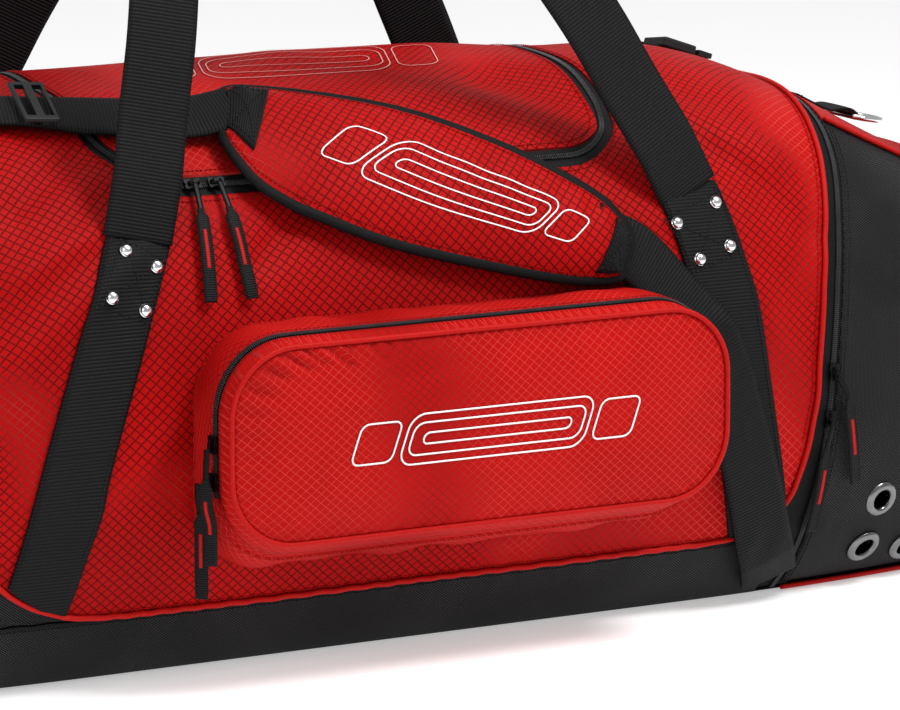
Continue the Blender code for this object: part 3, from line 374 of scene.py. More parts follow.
M = {
    "red": ripstop("ripstop_red", (0.385, 0.0030, 0.0030), (0.060, 0.0016, 0.0014), 0.0086, 0.0078,
                   0.25, 0.56),
    "red_pocket": ripstop("ripstop_pocket", (0.40, 0.0045, 0.0038), (0.13, 0.0024, 0.0020), 0.0078, 0.0066,
                          0.18, 0.40),
    "black": coarse_nylon("coarse_black", (0.0016, 0.0016, 0.0018), (0.150, 0.150, 0.155), 0.0026),
    "webbing": webbing("webbing_black", (0.0026, 0.0026, 0.0028), (0.0105, 0.0102, 0.0108), 0.0026),
    "narrow_webbing": webbing("webbing_narrow", (0.0025, 0.0025, 0.0028), (0.015, 0.015, 0.016), 0.0017),
    "tape": plain_cloth("zip_tape_cloth", (0.002, 0.002, 0.0022), (0.011, 0.011, 0.012), 0.0016),
    "binding": plain_cloth("binding_tape", (0.0015, 0.0015, 0.0017), (0.0085, 0.0085, 0.0092), 0.0012, 0.55),
    "piping": plain_cloth("piping_red", (0.26, 0.0036, 0.003), (0.52, 0.010, 0.008), 0.0011, 0.42),
    "lining": plain_cloth("lining_cloth", (0.020, 0.020, 0.022), (0.060, 0.060, 0.064), 0.0014, 0.7),
    "coil": moulded("coil_nylon", (0.034, 0.034, 0.036), 0.34),
    "thread_black": plain_cloth("thread_black", (0.006, 0.006, 0.007), (0.026, 0.026, 0.028), 0.0006, 0.5),
    "thread_red": plain_cloth("thread_red", (0.16, 0.003, 0.0025), (0.36, 0.007, 0.006), 0.0006, 0.5),
    "steel": metal("polished_steel", (0.80, 0.80, 0.82), 0.14),
    "grommet": metal("brushed_steel", (0.19, 0.19, 0.195), 0.20),
    "gun": metal("dark_slider_metal", (0.012, 0.012, 0.013), 0.34),
    "plastic": moulded("black_plastic", (0.006, 0.006, 0.0065)),
    "board": moulded("stiff_board", (0.030, 0.030, 0.030), 0.7),
    "print": plain_cloth("printed_white", (0.72, 0.70, 0.69), (0.92, 0.90, 0.89), 0.0009, 0.5),
    "faded_print": plain_cloth("printed_faded", (0.46, 0.16, 0.14), (0.74, 0.40, 0.37), 0.0030, 0.5),
    "red_flash": plain_cloth("red_inlay", (0.26, 0.005, 0.004), (0.50, 0.012, 0.010), 0.0012, 0.5),
}
M["grip"] = M["binding"]


# ---- mesh helpers ----
def grid_faces(rows, cols, close_rows=False, close_cols=False):
    i, j = np.meshgrid(np.arange(rows - 1 + close_rows), np.arange(cols - 1 + close_cols), indexing="ij")
    i2, j2 = (i + 1) % rows, (j + 1) % cols
    return np.stack([i * cols + j, i * cols + j2, i2 * cols + j2, i2 * cols + j], -1).reshape(-1, 4)


def declare(obj, body, node):
    """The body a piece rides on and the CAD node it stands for."""
    if body:
        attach(obj, body)
    if node:
        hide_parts(node)


def make(name, body, mats, verts, faces, uv, node=None, face_mats=None):
    """A mesh object with metre UVs; mats holds material names, parted by spaces."""
    mesh = bpy.data.meshes.new(name)
    mesh.from_pydata(np.asarray(verts, float).tolist(), [], [list(map(int, f)) for f in faces])
    index = np.empty(len(mesh.loops), np.int32)
    mesh.loops.foreach_get("vertex_index", index)
    mesh.uv_layers.new(name="UVMap").data.foreach_set("uv", np.asarray(uv, np.float32)[index].ravel())
    for m in mats.split():
        mesh.materials.append(M[m])
    if face_mats is not None:
        mesh.polygons.foreach_set("material_index", face_mats)
    mesh.polygons.foreach_set("use_smooth", np.full(len(mesh.polygons), True))
    mesh.update()
    bm = bmesh.new()
    bm.from_mesh(mesh)
    bmesh.ops.recalc_face_normals(bm, faces=bm.faces)
    bm.to_mesh(mesh)
    bm.free()
    obj = add_object(name, mesh)
    declare(obj, body, node)
    return obj


def shell(name, body, mats, P, N, thick, uv, node=None, close_rows=False):
    """A closed sheet: the grid P, a copy of it moved in along N, and every open edge joined."""
    rows, cols = P.shape[:2]
    n = rows * cols
    top = grid_faces(rows, cols, close_rows)
    edges = [np.arange(rows + close_rows) % rows * cols + col for col in (0, cols - 1)]
    if not close_rows:
        edges += [row * cols + np.arange(cols) for row in (0, rows - 1)]
    rim = [np.stack([edge[1:], edge[:-1], edge[:-1] + n, edge[1:] + n], -1) for edge in edges]
    faces = np.concatenate([top, top[:, ::-1] + n, *rim])
    face_mats = np.zeros(len(faces), np.int32)
    face_mats[len(top):2 * len(top)] = len(mats.split()) - 1
    verts = np.concatenate([P.reshape(-1, 3), (P - N * thick).reshape(-1, 3)])
    return make(name, body, mats, verts, faces, np.tile(uv.reshape(-1, 2), (2, 1)), node, face_mats)


def uv_grid(u, v):
    return np.stack(np.broadcast_arrays(u, v), -1)


def table(points, at):
    xs, ys = zip(*points)
    return np.interp(at, xs, ys)


def spaced(a, b, step):
    return np.linspace(a, b, max(int(abs(b - a) / step) + 1, 2))


def mirrored(angle):
    return np.where(np.asarray(angle) > 90, 180 - np.asarray(angle), angle)


def edge_line(points):
    """A panel's edge, from (angle, x) points: x by angle, the same at the rear as at the front."""
    return lambda a: table(points, mirrored(a))


A0 = float(angle_at(0, BASE_TOP_Z))
CAP_SEAM_A = 62.0
WRAP_LEFT = [(A0, -0.272), (-25.2, -0.309), (-21, -0.334), (-16.5, -0.351), (-12, -0.360)]
WRAP_RIGHT = [(A0, 0.264), (-26.5, 0.282), (-23, 0.298), (-19, 0.308), (-10, 0.319), (0, 0.327), (15, 0.335),
              (30, 0.347), (45, 0.360), (60, 0.371), (75, 0.380), (90, 0.385)]
END_COIL = [(-51, 0.322), (-27, 0.327), (-19, 0.331), (-2, 0.340), (0, 0.341), (15, 0.349), (30, 0.360),
            (45, 0.374), (60, 0.386), (75, 0.394), (90, 0.396)]
wrap_left, wrap_right, end_coil = map(edge_line, (WRAP_LEFT, WRAP_RIGHT, END_COIL))


def skin_panel(name, body, mats, node, angles, left, right, cols, off=0.0, thick=CLOTH):
    """Cloth on the skin between two edges, each a place along x or a function of the angle."""
    u = np.linspace(0, 1, cols)[None, :]
    A = np.asarray(angles, float)[:, None] + 0 * u
    left, right = (edge(A) if callable(edge) else edge for edge in (left, right))
    X = left + (right - left) * u + 0 * A
    P, N = on_skin(X, A, off)
    return shell(name, body, mats, P, N, thick, uv_grid(X, arc(A)), node)


def prism(name, outline, low, high):
    """A plain block over a plan outline, to cut with."""
    n = len(outline)
    verts = [(x, y, z) for z in (low, high) for x, y in outline]
    faces = [tuple(reversed(range(n))), tuple(range(n, 2 * n))]
    faces += [(i, (i + 1) % n, (i + 1) % n + n, i + n) for i in range(n)]
    mesh = bpy.data.meshes.new(name)
    mesh.from_pydata(verts, [], faces)
    return add_object(name, mesh)


def cut(obj, cutter, operation="DIFFERENCE"):
    """The exact Boolean of a piece with a cutter, applied, and the cutter removed."""
    modifier = obj.modifiers.new("cut", "BOOLEAN")
    modifier.operation = operation
    modifier.solver = "EXACT"
    modifier.object = cutter
    bpy.context.view_layer.update()
    graph = bpy.context.evaluated_depsgraph_get()
    made = bpy.data.meshes.new_from_object(obj.evaluated_get(graph))
    obj.modifiers.clear()
    old, obj.data = obj.data, made
    bpy.data.meshes.remove(old)
    bpy.data.objects.remove(cutter)


def catmull(points, per, closed=False):
    """A smooth curve through the points."""
    p = np.asarray(points, float)
    if closed:
        p = np.concatenate([p[-1:], p, p[:2]])
    else:
        p = np.concatenate([2 * p[:1] - p[1:2], p, 2 * p[-1:] - p[-2:-1]])
    t = np.linspace(0, 1, per, endpoint=False)[:, None]
    out = []
    for a, b, c, d in zip(p, p[1:], p[2:], p[3:]):
        out.append(0.5 * (2 * b + (c - a) * t + (2 * a - 5 * b + 4 * c - d) * t**2
                          + (3 * b - a - 3 * c + d) * t**3))
    return np.concatenate(out if closed else out + [p[-2:-1]])


def lengths(P, closed=False):
    q = np.concatenate([P, P[:1]]) if closed else P
    return np.concatenate([[0], np.cumsum(np.linalg.norm(np.diff(q, axis=0), axis=1))])


def even(P, step, closed=False, extra=()):
    """The path with points a step apart, and other arrays along it sampled the same way."""
    s = lengths(P, closed)
    at = np.linspace(0, s[-1], max(int(round(s[-1] / step)), 3), endpoint=not closed)
    result = []
    for values in (P, *extra):
        v = np.concatenate([values, values[:1]]) if closed else values
        result.append(np.stack([np.interp(at, s, column) for column in v.T], -1))
    return result if extra else result[0]


def tangents(P, closed=False):
    return unit(np.roll(P, -1, 0) - np.roll(P, 1, 0) if closed else np.gradient(P, axis=0))


def normals_to(P, seed):
    """A smooth normal along the path nearest to a seed direction."""
    T = tangents(P)
    n = np.asarray(seed, float) + 0 * P
    return unit(n - T * np.sum(n * T, -1, keepdims=True))


def swept(name, body, mats, P, N, profile, node=None, closed=False, scale=(1.0, 1.0)):
    """A solid swept along P: profile is (side, up) points, up along N, widened by scale."""
    T = tangents(P, closed)
    S = unit(np.cross(T, N))
    U = unit(np.cross(S, T))
    profile = np.asarray(profile, float)
    wide, tall = (np.broadcast_to(k, len(P))[:, None, None] for k in scale)
    rings = P[:, None] + S[:, None] * profile[None, :, :1] * wide + U[:, None] * profile[None, :, 1:] * tall
    rows, cols = len(P), len(profile)
    faces = grid_faces(rows, cols, closed, True).tolist()
    if not closed:
        faces += [list(range(cols)), list(range((rows - 1) * cols, rows * cols))]
    uv = uv_grid(profile[None, :, 0], lengths(P)[:, None])
    return make(name, body, mats, rings.reshape(-1, 3), faces, uv.reshape(-1, 2), node)


def circle(radius, sides=10):
    t = np.linspace(0, TAU, sides, endpoint=False)
    return np.stack([radius * np.cos(t), radius * np.sin(t)], -1)


def strap_profile(width, thick, sides=9):
    """A flat strap's section with softly rounded edges."""
    x = np.linspace(-0.5, 0.5, sides) * width
    half = thick / 2 - np.where(np.abs(x) > width * 0.47, thick * 0.30, 0)
    return np.concatenate([np.stack([x, half], -1), np.stack([x[::-1], -half], -1)])


def turned(p, s, v, n, profile, sides):
    """A turned piece's grid of points: profile is (radius, height) points, about n at p."""
    t = np.linspace(0, TAU, sides, endpoint=False)[:, None, None]
    return p + (s * np.cos(t) + v * np.sin(t)) * profile[None, :, :1] + n * profile[None, :, 1:]


def placed(x_axis, y_axis, z_axis, p):
    """The matrix with these axes and this place."""
    return Matrix([*zip(x_axis, y_axis, z_axis, p), (0, 0, 0, 1)])


def pegs(P, A, N, half, side, up):
    """Many small rounded bars: at each P, along A, with N outwards. Returns vertices, faces and UVs."""
    ring = ((-1, -0.55), (-0.55, 1), (0.55, 1), (1, -0.55))
    stations = ((-1.0, 0.45), (-0.55, 1.0), (0.55, 1.0), (1.0, 0.45))
    S = unit(np.cross(A, N))
    offsets = [(along, u * fat, v * fat if v > 0 else v) for along, fat in stations for u, v in ring]
    o = np.array(offsets)[None]
    verts = P[:, None] + A[:, None] * (o[..., :1] * half) + S[:, None] * (o[..., 1:2] * side) \
        + N[:, None] * (o[..., 2:] * up)
    cell = np.concatenate([grid_faces(4, 4, False, True), [[0, 1, 2, 3], [12, 13, 14, 15]]])
    faces = (cell[None] + (np.arange(len(P)) * o.shape[1])[:, None, None]).reshape(-1, 4)
    uv = uv_grid(o[..., 1] * side, o[..., 0] * half + np.arange(len(P))[:, None] * 0.003)
    return verts.reshape(-1, 3), faces, uv.reshape(-1, 2)


def stitch(name, body, paths, mat="thread_black", pitch=0.0036, length=0.0026, radius=0.00042):
    """Rows of separate stitches along (points, normals) paths, as one piece."""
    parts, base = [], 0
    for P, N in paths:
        p, n = even(P, pitch, extra=(N,))
        n = unit(n)
        p = p + n * radius * 0.5
        verts, faces, uv = pegs(p, tangents(p), n, length / 2, radius, radius)
        parts.append((verts, faces + base, uv))
        base += len(verts)
    return make(name, body, mat, *map(np.concatenate, zip(*parts)))


def box_stitch(name, body, box, count, place):
    """Stitches round a box of four corners and along its diagonals, each point put down by place."""
    box, k = np.asarray(box), np.linspace(0, 1, count)[:, None]
    rows = []
    for i, j in ((0, 1), (1, 2), (2, 3), (3, 0), (0, 2), (1, 3)):
        rows.append(place(*(box[i] + (box[j] - box[i]) * k).T))
    return stitch(name, body, rows)


def coil(name, body, P, N, inward):
    """One half of a zip's coil: a bar across the join at every pitch, on one side of the line."""
    pitch, reach = 0.0015, 0.0013
    p, n = even(P, pitch, extra=(N,))
    n = unit(n)
    T = tangents(p)
    S = unit(np.cross(T, n)) * inward
    middle = p + S * reach * 0.80 + n * 0.0007
    return make(name, body, "coil", *pegs(middle, unit(S + T * 0.18), n, reach, 0.00046, 0.00075))


def bend_at_hinge(obj):
    """Bakes the piece's place into its mesh, for a piece on the lid; nothing is bent at the hinge."""
    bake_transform(obj)


def bend_with_pad(obj):
    """The piece lies on the lid at one end and on the bag's front at the other."""
    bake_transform(obj)


# ---- red panels, base and ends ----
LID_LEFT, LID_RIGHT, LID_FRONT, LID_CORNER, HINGE_Y = -0.229, 0.194, -0.154, 0.055, 0.100
TOP_SEAM = 119.4


def lid_outline(grow, behind, count=14):
    """The lid's plan, open at the hinge: two rounded front corners, then the rear ones."""
    r = LID_CORNER + grow
    left, right, front = LID_LEFT - grow, LID_RIGHT + grow, LID_FRONT - grow
    points = []
    for x, start in ((left + r, math.pi), (right - r, 1.5 * math.pi)):
        for t in np.linspace(start, start + math.pi / 2, count):
            points.append((x + r * math.cos(t), front + r + r * math.sin(t)))
    return points + [(right, behind), (left, behind)]


def on_top(xy, off):
    """Points over the plan positions, on the bag's top, with their outward directions."""
    x, y = np.moveaxis(np.asarray(xy), -1, 0)
    return on_skin(x, top_angle_at(x, y), off)


wrap = skin_panel("wrap_front_and_top", "bag", "red lining", "main_wrap", spaced(A0, TOP_SEAM - 0.1, 1.25),
                  wrap_left, wrap_right, 150)
cut(wrap, prism("lid_opening", lid_outline(0.0062, HINGE_Y + 0.0006), 0.22, 0.52))
skin_panel("wrap_rear", "bag", "red lining", "rear_panel", spaced(TOP_SEAM + 0.1, 180 - A0, 1.25), wrap_left,
           wrap_right, 150)
lid = skin_panel("lid_cover", None, "red lining", "lid_panel", spaced(34, 119, 0.95), -0.262, 0.222, 130)
cut(lid, prism("lid_edge", lid_outline(-0.0062, HINGE_Y), 0.22, 0.52), "INTERSECT")
bend_at_hinge(lid)
skin_panel("base_band", "bag", "black lining", "base_tray", spaced(A0 - 0.5, -180 - A0 + 0.5, 1.6),
           -END_ARC + 0.0008, 0.3078, 150)


def end_wall(name, body, node, side, rows, start, cols):
    """One end's side wall as far as the rounded edge, and the whole end face inside it."""
    wall = skin_panel(name, body, "black lining", node, rows, lambda a: side * start(a), side * END_ARC, cols)
    r = np.linspace(0.0, END_REACH - 0.0003, 26)[None, :]
    A = np.linspace(-90, 270, 181)[:-1, None]
    P = skin(side * (END_ARC + r), A)
    N = np.zeros_like(P)
    N[..., 0] = side
    bulge = 0.004 * np.sin(math.pi / 2 * r / END_REACH) + 0.0012 * ripple(P[..., 1] * 1.3, P[..., 2] * 1.3)
    P = P + N * (bulge * np.clip(r / 0.02, 0, 1))[..., None]
    shell(name + "_face", body, "black lining", P, N, CLOTH, P[..., 1:], close_rows=True)
    return wall


end_wall("left_end_wall", "bag", "left_end", -1, spaced(A0, 180 - A0, 1.5),
         lambda a: 0.0004 - wrap_left(a), 44)
cap = end_wall("end_cap_wall", "end_cap", "end_cap", 1, spaced(-46.5, 226.5, 1.2),
               lambda a: end_coil(a) + 0.0055, 60)
skin_panel("end_floor_panel", "bag", "black lining", "end_floor", spaced(-49.4, -130.6, 2.0), 0.3086,
           END_ARC - 0.003, 50)

# Divider between the main space and the end compartment.
rows = spaced(-50, 230, 4.0)
k = np.linspace(0.985, 0.02, 14)[None, :]
edge = skin(0.300, rows) - outward(0.300, rows) * 0.0040
P = np.stack([0.2995 + 0.004 * np.sin(5 * k + rows[:, None] / 40) * (1 - k), edge[:, 1:2] * k,
              END_CENTRE_Z + (np.maximum(edge[:, 2:], 0.004) - END_CENTRE_Z) * k], -1)
N = np.zeros_like(P)
N[..., 0] = 1
shell("divider", "bag", "lining", P, N, 0.0018, P[..., 1:], "divider_wall", True)

# ---- end zip ----
ZIP_ENDS = (-48.6, 228.6)


def tape_left(a):
    return np.where(mirrored(a) < A0 - 0.2, 0.3083, wrap_right(a) - 0.004)


skin_panel("end_tape_inner", "bag", "tape", "end_zip_tape_body", spaced(*ZIP_ENDS, 1.4), tape_left,
           lambda a: end_coil(a) - 0.0003, 6, TAPE_SINK, TAPE_THICK)
skin_panel("end_tape_outer", "end_cap", "tape", "end_zip_tape_cap", spaced(*ZIP_ENDS, 1.4),
           lambda a: end_coil(a) + 0.0003, lambda a: end_coil(a) + 0.0145, 5, TAPE_SINK, TAPE_THICK)
a = spaced(*ZIP_ENDS, 0.5)
P, N = on_skin(end_coil(a), a, -0.0010)
coil("end_coil_inner", "bag", P, N, -1)
coil("end_coil_outer", "end_cap", P, N, 1)
a = spaced(-46, 226, 1.0)
seams = [on_skin(end_coil(a) + shift, a, 0.0001) for shift in (0.0078, 0.0112)]
stitch("end_cap_edge_stitches", "end_cap", seams)

# Red strip over the end compartment with its piping, and the piping round the compartment's floor.
PIPE = circle(0.0019)
skin_panel("end_top_strip", "end_cap", "red lining", "end_top_panel",
           spaced(CAP_SEAM_A + 1, 179 - CAP_SEAM_A, 1.4), lambda a: end_coil(a) + 0.0055, END_ARC - 0.001, 44,
           0.0014, 0.0012)
corner = [(float(end_coil(CAP_SEAM_A)) + 0.006, CAP_SEAM_A + 0.4), (0.43, CAP_SEAM_A + 0.4),
          (0.47, CAP_SEAM_A + 0.4), (0.51, CAP_SEAM_A + 0.6), (0.545, CAP_SEAM_A + 1.5)]
path = corner + [(END_ARC, a) for a in (70, 80, 90, 100, 110)] + [(x, 180 - a) for x, a in reversed(corner)]
swept("end_top_piping_cord", "end_cap", "piping", *on_skin(*catmull(path, 10).T, 0.0030), PIPE,
      "end_top_piping")
floor_x = (0.330, 0.36, 0.40, 0.44, 0.48, 0.51, 0.53, 0.55)
path = [(x, -49) for x in floor_x] + [(END_ARC, a) for a in (-60, -75, -90, -105, -120)] \
    + [(x, -131) for x in reversed(floor_x)]
x, a = np.array(path, float).T
P = skin(x, a)
P[:, 0] += 0.0032 * np.clip((x - 0.50) / 0.05, 0, 1)
P[:, 1] += np.copysign(0.0030, P[:, 1]) * (x < END_ARC)
P[:, 2] = np.maximum(P[:, 2], 0.0024)
P = catmull(P, 8)
swept("end_lower_piping_cord", "bag", "piping", P, normals_to(P, (0, 0, 1)), PIPE, "end_lower_piping")


# ---- piping and seams of the red wrap ----
def over_top(low):
    """Angles from low over the top to the same height at the rear."""
    return np.concatenate([spaced(low, 90, 3), 180 - spaced(90, low, 3)[1:]])


right_a, left_a = over_top(A0 + 1.2), 180 - over_top(A0 + 0.7)
foot = spaced(0.235, -0.240, 0.02)
x = np.concatenate([wrap_right(right_a), foot, wrap_left(left_a), foot[::-1]])
a = np.concatenate([right_a, 180 - A0 + 0 * foot, left_a, A0 + 0 * foot])
P, N = on_skin(*catmull(np.stack([x, a], -1), 4, True).T, 0.0016)
P, N = even(P, 0.004, True, extra=(N,))
swept("wrap_piping_cord", "bag", "piping", P, N, circle(0.0021), "wrap_piping", True)
a = spaced(-8, 188, 1)
seams = [on_skin(wrap_right(a) - 0.0055, a, 0.0002), on_skin(wrap_left(a) + 0.0055, a, 0.0002)]
seams += [on_skin(spaced(-0.262, 0.255, 0.004), a, 0.0002) for a in (A0 + 1.1, 180 - A0 - 1.1)]
stitch("wrap_seam_stitches", "bag", seams, "thread_red")
seams = [on_skin(spaced(-0.46, 0.300, 0.004), a, 0.0002) for a in (A0 - 1.8, -180 - A0 + 1.8)]
stitch("base_seam_stitches", "bag", seams)

# ---- lid zip ----
line = [(LID_LEFT, HINGE_Y), *lid_outline(0.0, HINGE_Y, 24)[:-2], (LID_RIGHT, HINGE_Y)]
line = even(np.array(line), 0.004)
flat_t = unit(np.gradient(line, axis=0))
flat_n = np.stack([flat_t[:, 1], -flat_t[:, 0]], -1)


def lid_tape(name, body, node, near, far):
    """Zip tape beside the lid's outline, between two distances outside it."""
    k = np.linspace(near, far, 6)[None, :]
    xy = line[:, None] + flat_n[:, None] * k[..., None]
    xy[..., 1] = np.minimum(xy[..., 1], HINGE_Y)
    P, N = on_top(xy, TAPE_SINK)
    return shell(name, body, "tape", P, N, TAPE_THICK, uv_grid(k, lengths(line)[:, None]), node)


lid_tape("lid_tape_outer", "bag", "lid_zip_tape_body", 0.0003, 0.0142)
bend_at_hinge(lid_tape("lid_tape_inner", None, "lid_zip_tape_lid", -0.0142, -0.0003))
P, N = on_top(line, -0.0010)
coil("lid_coil_outer", "bag", P, N, 1)
bend_at_hinge(coil("lid_coil_inner", None, P, N, -1))
stitch("lid_edge_stitches", "bag", [on_top(line + flat_n * 0.0090, 0.0003)], "thread_red")
bend_at_hinge(stitch("lid_cover_stitches", None, [on_top(line - flat_n * 0.0090, 0.0003)], "thread_red"))
swept("top_seam_tape", "bag", "binding", *on_skin(spaced(-0.35, 0.375, 0.004), TOP_SEAM, 0.0009),
      strap_profile(0.012, 0.0010))


# ---- front pocket ----
def rounded(left, right, low, high, r):
    """A rounded rectangle in front view, from the top of its right side over the top and round."""
    turn = np.radians(np.linspace(0, 90, 17))
    corners = []
    for i, (x, z) in enumerate(((right, high), (left, high), (left, low), (right, low))):
        x += -r if x == right else r
        z += -r if z == high else r
        t = turn + i * math.pi / 2
        corners.append(np.stack([x + r * np.cos(t), z + r * np.sin(t)], -1))
    points = []
    for i, steps in enumerate((46, 8, 46, 8)):
        a, b = corners[i][-1], corners[(i + 1) % 4][0]
        points += [corners[i], a + (b - a) * np.linspace(0, 1, steps + 1)[1:-1, None]]
    return np.concatenate(points)


POCKET_BASE = rounded(-0.196, 0.205, 0.082, 0.260, 0.056)
POCKET_FACE = rounded(-0.192, 0.207, 0.114, 0.252, 0.048)
POCKET_Y, POCKET_MIDDLE, ZIP_END_Z = -0.270, (0.01, -0.24, 0.178), 0.146
RING_S = lengths(POCKET_FACE, True)[:-1]


def pocket(t, inward=0.0):
    """Rings of the pocket's side, a share t of the way from the base seam to the face."""
    t = np.asarray(t, float)[None, :]
    x, z = np.moveaxis(POCKET_BASE[:, None] + (POCKET_FACE - POCKET_BASE)[:, None] * t[..., None], -1, 0)
    s = RING_S[:, None]
    crumple = 0.0016 * np.sin(s * 61 + 2.2 * np.sin(s * 17)) + 0.0011 * np.sin(s * 113 + t * 5)
    bulge = 0.006 * np.sin(np.pi * np.clip(t, 0, 1)) + crumple * np.sin(np.pi * np.clip(t / 0.6, 0, 1))
    ax = np.maximum(np.abs(x - 0.02) - 0.14, 0) * np.sign(x - 0.02)
    az = z - POCKET_MIDDLE[2]
    grow = (bulge - inward) / np.maximum(np.hypot(ax, az), 1e-6)
    x = x + ax * grow
    z = z + az * grow
    base = section(x, angle_at(x, z))[..., 1] - 0.001
    return np.stack([x, base + (POCKET_Y - base) * t, z], -1)


def ring_normals(P):
    """Outward directions of a ring grid, from its own shape."""
    n = unit(np.cross(np.roll(P, -1, 0) - np.roll(P, 1, 0), np.gradient(P, axis=1)))
    inside = np.sum(n * (P - POCKET_MIDDLE) * np.array([1, 0, 1]), -1, keepdims=True) < 0
    return np.where(inside, -n, n)


def pocket_line(before, at, after):
    """One ring, with outward directions from the rings at both sides of it."""
    rings = pocket([before, at, after])
    return rings[:, 1], ring_normals(rings)[:, 1]


def pocket_piece(name, body, mats, node, first, last, count, thick, lift=0.0):
    shares = np.linspace(first, last, count)
    P = pocket(shares)
    N = ring_normals(P)
    uv = uv_grid(RING_S[:, None], shares[None, :] * 0.07)
    return shell(name, body, mats, P + N * lift, N, thick, uv, node, True)


def closed_path(P, N):
    return np.concatenate([P, P[:1]]), np.concatenate([N, N[:1]])


pocket_piece("pocket_side", "bag", "red_pocket lining", "pocket_gusset", -0.03, 0.625, 16, 0.0018)
for name, body, node, first, last in (("inner", "bag", "pocket_zip_tape_body", 0.60, 0.683),
                                      ("outer", "pocket_flap", "pocket_zip_tape_flap", 0.687, 0.77)):
    tape = pocket_piece(f"pocket_tape_{name}", body, "tape red_pocket", node, first, last, 5, TAPE_THICK,
                        -0.0010)
    # Under the zip's ends the join is a fold of the bag's own cloth.
    is_red = [int(face.center.z < ZIP_END_Z) for face in tape.data.polygons]
    tape.data.polygons.foreach_set("material_index", is_red)
zip_ring, zip_n = pocket_line(0.6, 0.685, 0.77)
above = np.where(zip_ring[:, 2] > ZIP_END_Z)[0]
above = np.roll(above, -1 - int(np.argmax(np.diff(above) > 1)))
for name, body, inward in (("inner", "bag", -1), ("outer", "pocket_flap", 1)):
    coil(f"pocket_coil_{name}", body, zip_ring[above] - zip_n[above] * 0.0008, zip_n[above], inward)
stitch("pocket_side_stitches", "bag", [closed_path(*pocket_line(0.55, 0.605, 0.65))], "thread_red")

FACE_K = np.concatenate([np.linspace(1.0, 0.90, 7), np.linspace(0.88, 0.0, 34)])


def face_point(edge, k):
    """The pocket's face: k is 1 at its edge and 0 along its middle line."""
    x = 0.01 + (edge[:, None, 0] - 0.01) * (1 - 0.62 * (1 - k))
    z = 0.183 + (edge[:, None, 2] - 0.183) * k
    inside = 1 - k
    puff = 0.0098 * (1 - (1 - np.clip(inside / 0.75, 0, 1)) ** 2.4)
    s = RING_S[:, None]
    top_left = np.exp(-((x + 0.13) / 0.06) ** 2 - ((z - 0.236) / 0.03) ** 2)
    pucker = 0.0019 * np.sin(s * TAU / 0.0165 + 2.4 * np.sin(s * 23)) \
        * np.exp(-((inside - 0.09) / 0.10) ** 2) * (0.55 + 1.5 * top_left)
    wave = 0.0016 * ripple(x * 1.6, z * 1.6 + 5) * np.clip(inside / 0.3, 0, 1)
    crease = z - 0.232 - 0.12 * (x + 0.02)
    dip = 0.0022 * np.exp(-((crease / 0.010) ** 2)) * np.exp(-(((x + 0.05) / 0.07) ** 2))
    return np.stack([x, edge[:, None, 1] - puff - pucker - wave + dip, z], -1)


lip = pocket(np.linspace(0.745, 1.0, 5))
lip_n = ring_normals(lip)
face = face_point(lip[:, -1], FACE_K[None, 1:])
P = np.concatenate([lip, face], 1)
N = np.concatenate([lip_n, np.zeros_like(face)], 1)
N[:, lip.shape[1]:, 1] = -1
N[:, lip.shape[1] - 1] = unit(lip_n[:, -1] + np.array([0, -1, 0]))
uv = P[..., [0, 2]]
uv[:, :4, 1] += np.linspace(-0.006, 0, 4)[None, :]
shell("pocket_front", "pocket_flap", "red_pocket lining", P, N, 0.0018, uv, "pocket_face", True)
P = pocket([1.0], -0.0022)[:, 0] + np.array([0, -0.0004, 0])
swept("pocket_piping_cord", "pocket_flap", "piping", P, unit(zip_n + np.array([0, -0.8, 0])), circle(0.0020),
      "pocket_piping", True)
stitch("pocket_seam_stitches", "bag", [pocket_line(0.0, 0.06, 0.12)], "thread_red", 0.0042, 0.0030)

# ---- straps sewn to the front and rear ----
STRAP_LEFT = [(-27, -0.3165), (-20, -0.3085), (-12, -0.2970), (0, -0.2850), (8.5, -0.2680), (14.3, -0.2575),
              (23.4, -0.2385), (35.5, -0.2235)]
STRAP_RIGHT = [(-27, 0.2845), (-20, 0.2770), (-12, 0.2680), (0, 0.2575), (8.5, 0.2490), (14.3, 0.2425),
               (23.4, 0.2360), (35.5, 0.2275)]
RIVETS_LEFT = [(-0.237, 0.314), (-0.215, 0.303), (-0.254, 0.285), (-0.228, 0.275)]
RIVETS_RIGHT = [(0.248, 0.313), (0.211, 0.301), (0.253, 0.282), (0.2255, 0.2745)]
WEB_W, STRAP_LIFT = 0.053, 0.0034


def rear_angle(a, rear):
    return 180 - a if rear else a


def strap_x(line, a):
    """The strap's centre line as a smooth curve in height, through the same points."""
    known = np.array(line, float)
    curve = np.polyfit(section(known[:, 1], known[:, 0])[:, 2], known[:, 1], 3)
    a = np.asarray(a, float)
    return np.polyval(curve, section(table(line, a), a)[..., 2])


def sewn_strap(name, node, line, wrap_edge, rear):
    """Webbing from the wrap's lower edge up to the handle, with a row of stitches at each side."""
    u = np.linspace(-0.5, 0.5, 15)
    low = table(sorted((x, a) for a, x in wrap_edge), table(line, -24) + u * WEB_W)
    low = np.minimum(low + 0.4, -12)
    A = low + (36.6 - low) * np.linspace(0, 1, 110)[:, None]
    X = strap_x(line, A) + u * WEB_W
    A = rear_angle(A, rear)
    P, N = on_skin(X, A, STRAP_LIFT - np.where(np.abs(u) > 0.47, 0.0007, 0))
    shell(name, "bag", "webbing", P, N, 0.0030, uv_grid(u * WEB_W, arc(A)), node)
    a = np.linspace(-14, 35, 60)
    rows = [on_skin(strap_x(line, a) + off * WEB_W, rear_angle(a, rear), STRAP_LIFT) for off in (-0.43, 0.43)]
    stitch(name + "_stitches", "bag", rows)


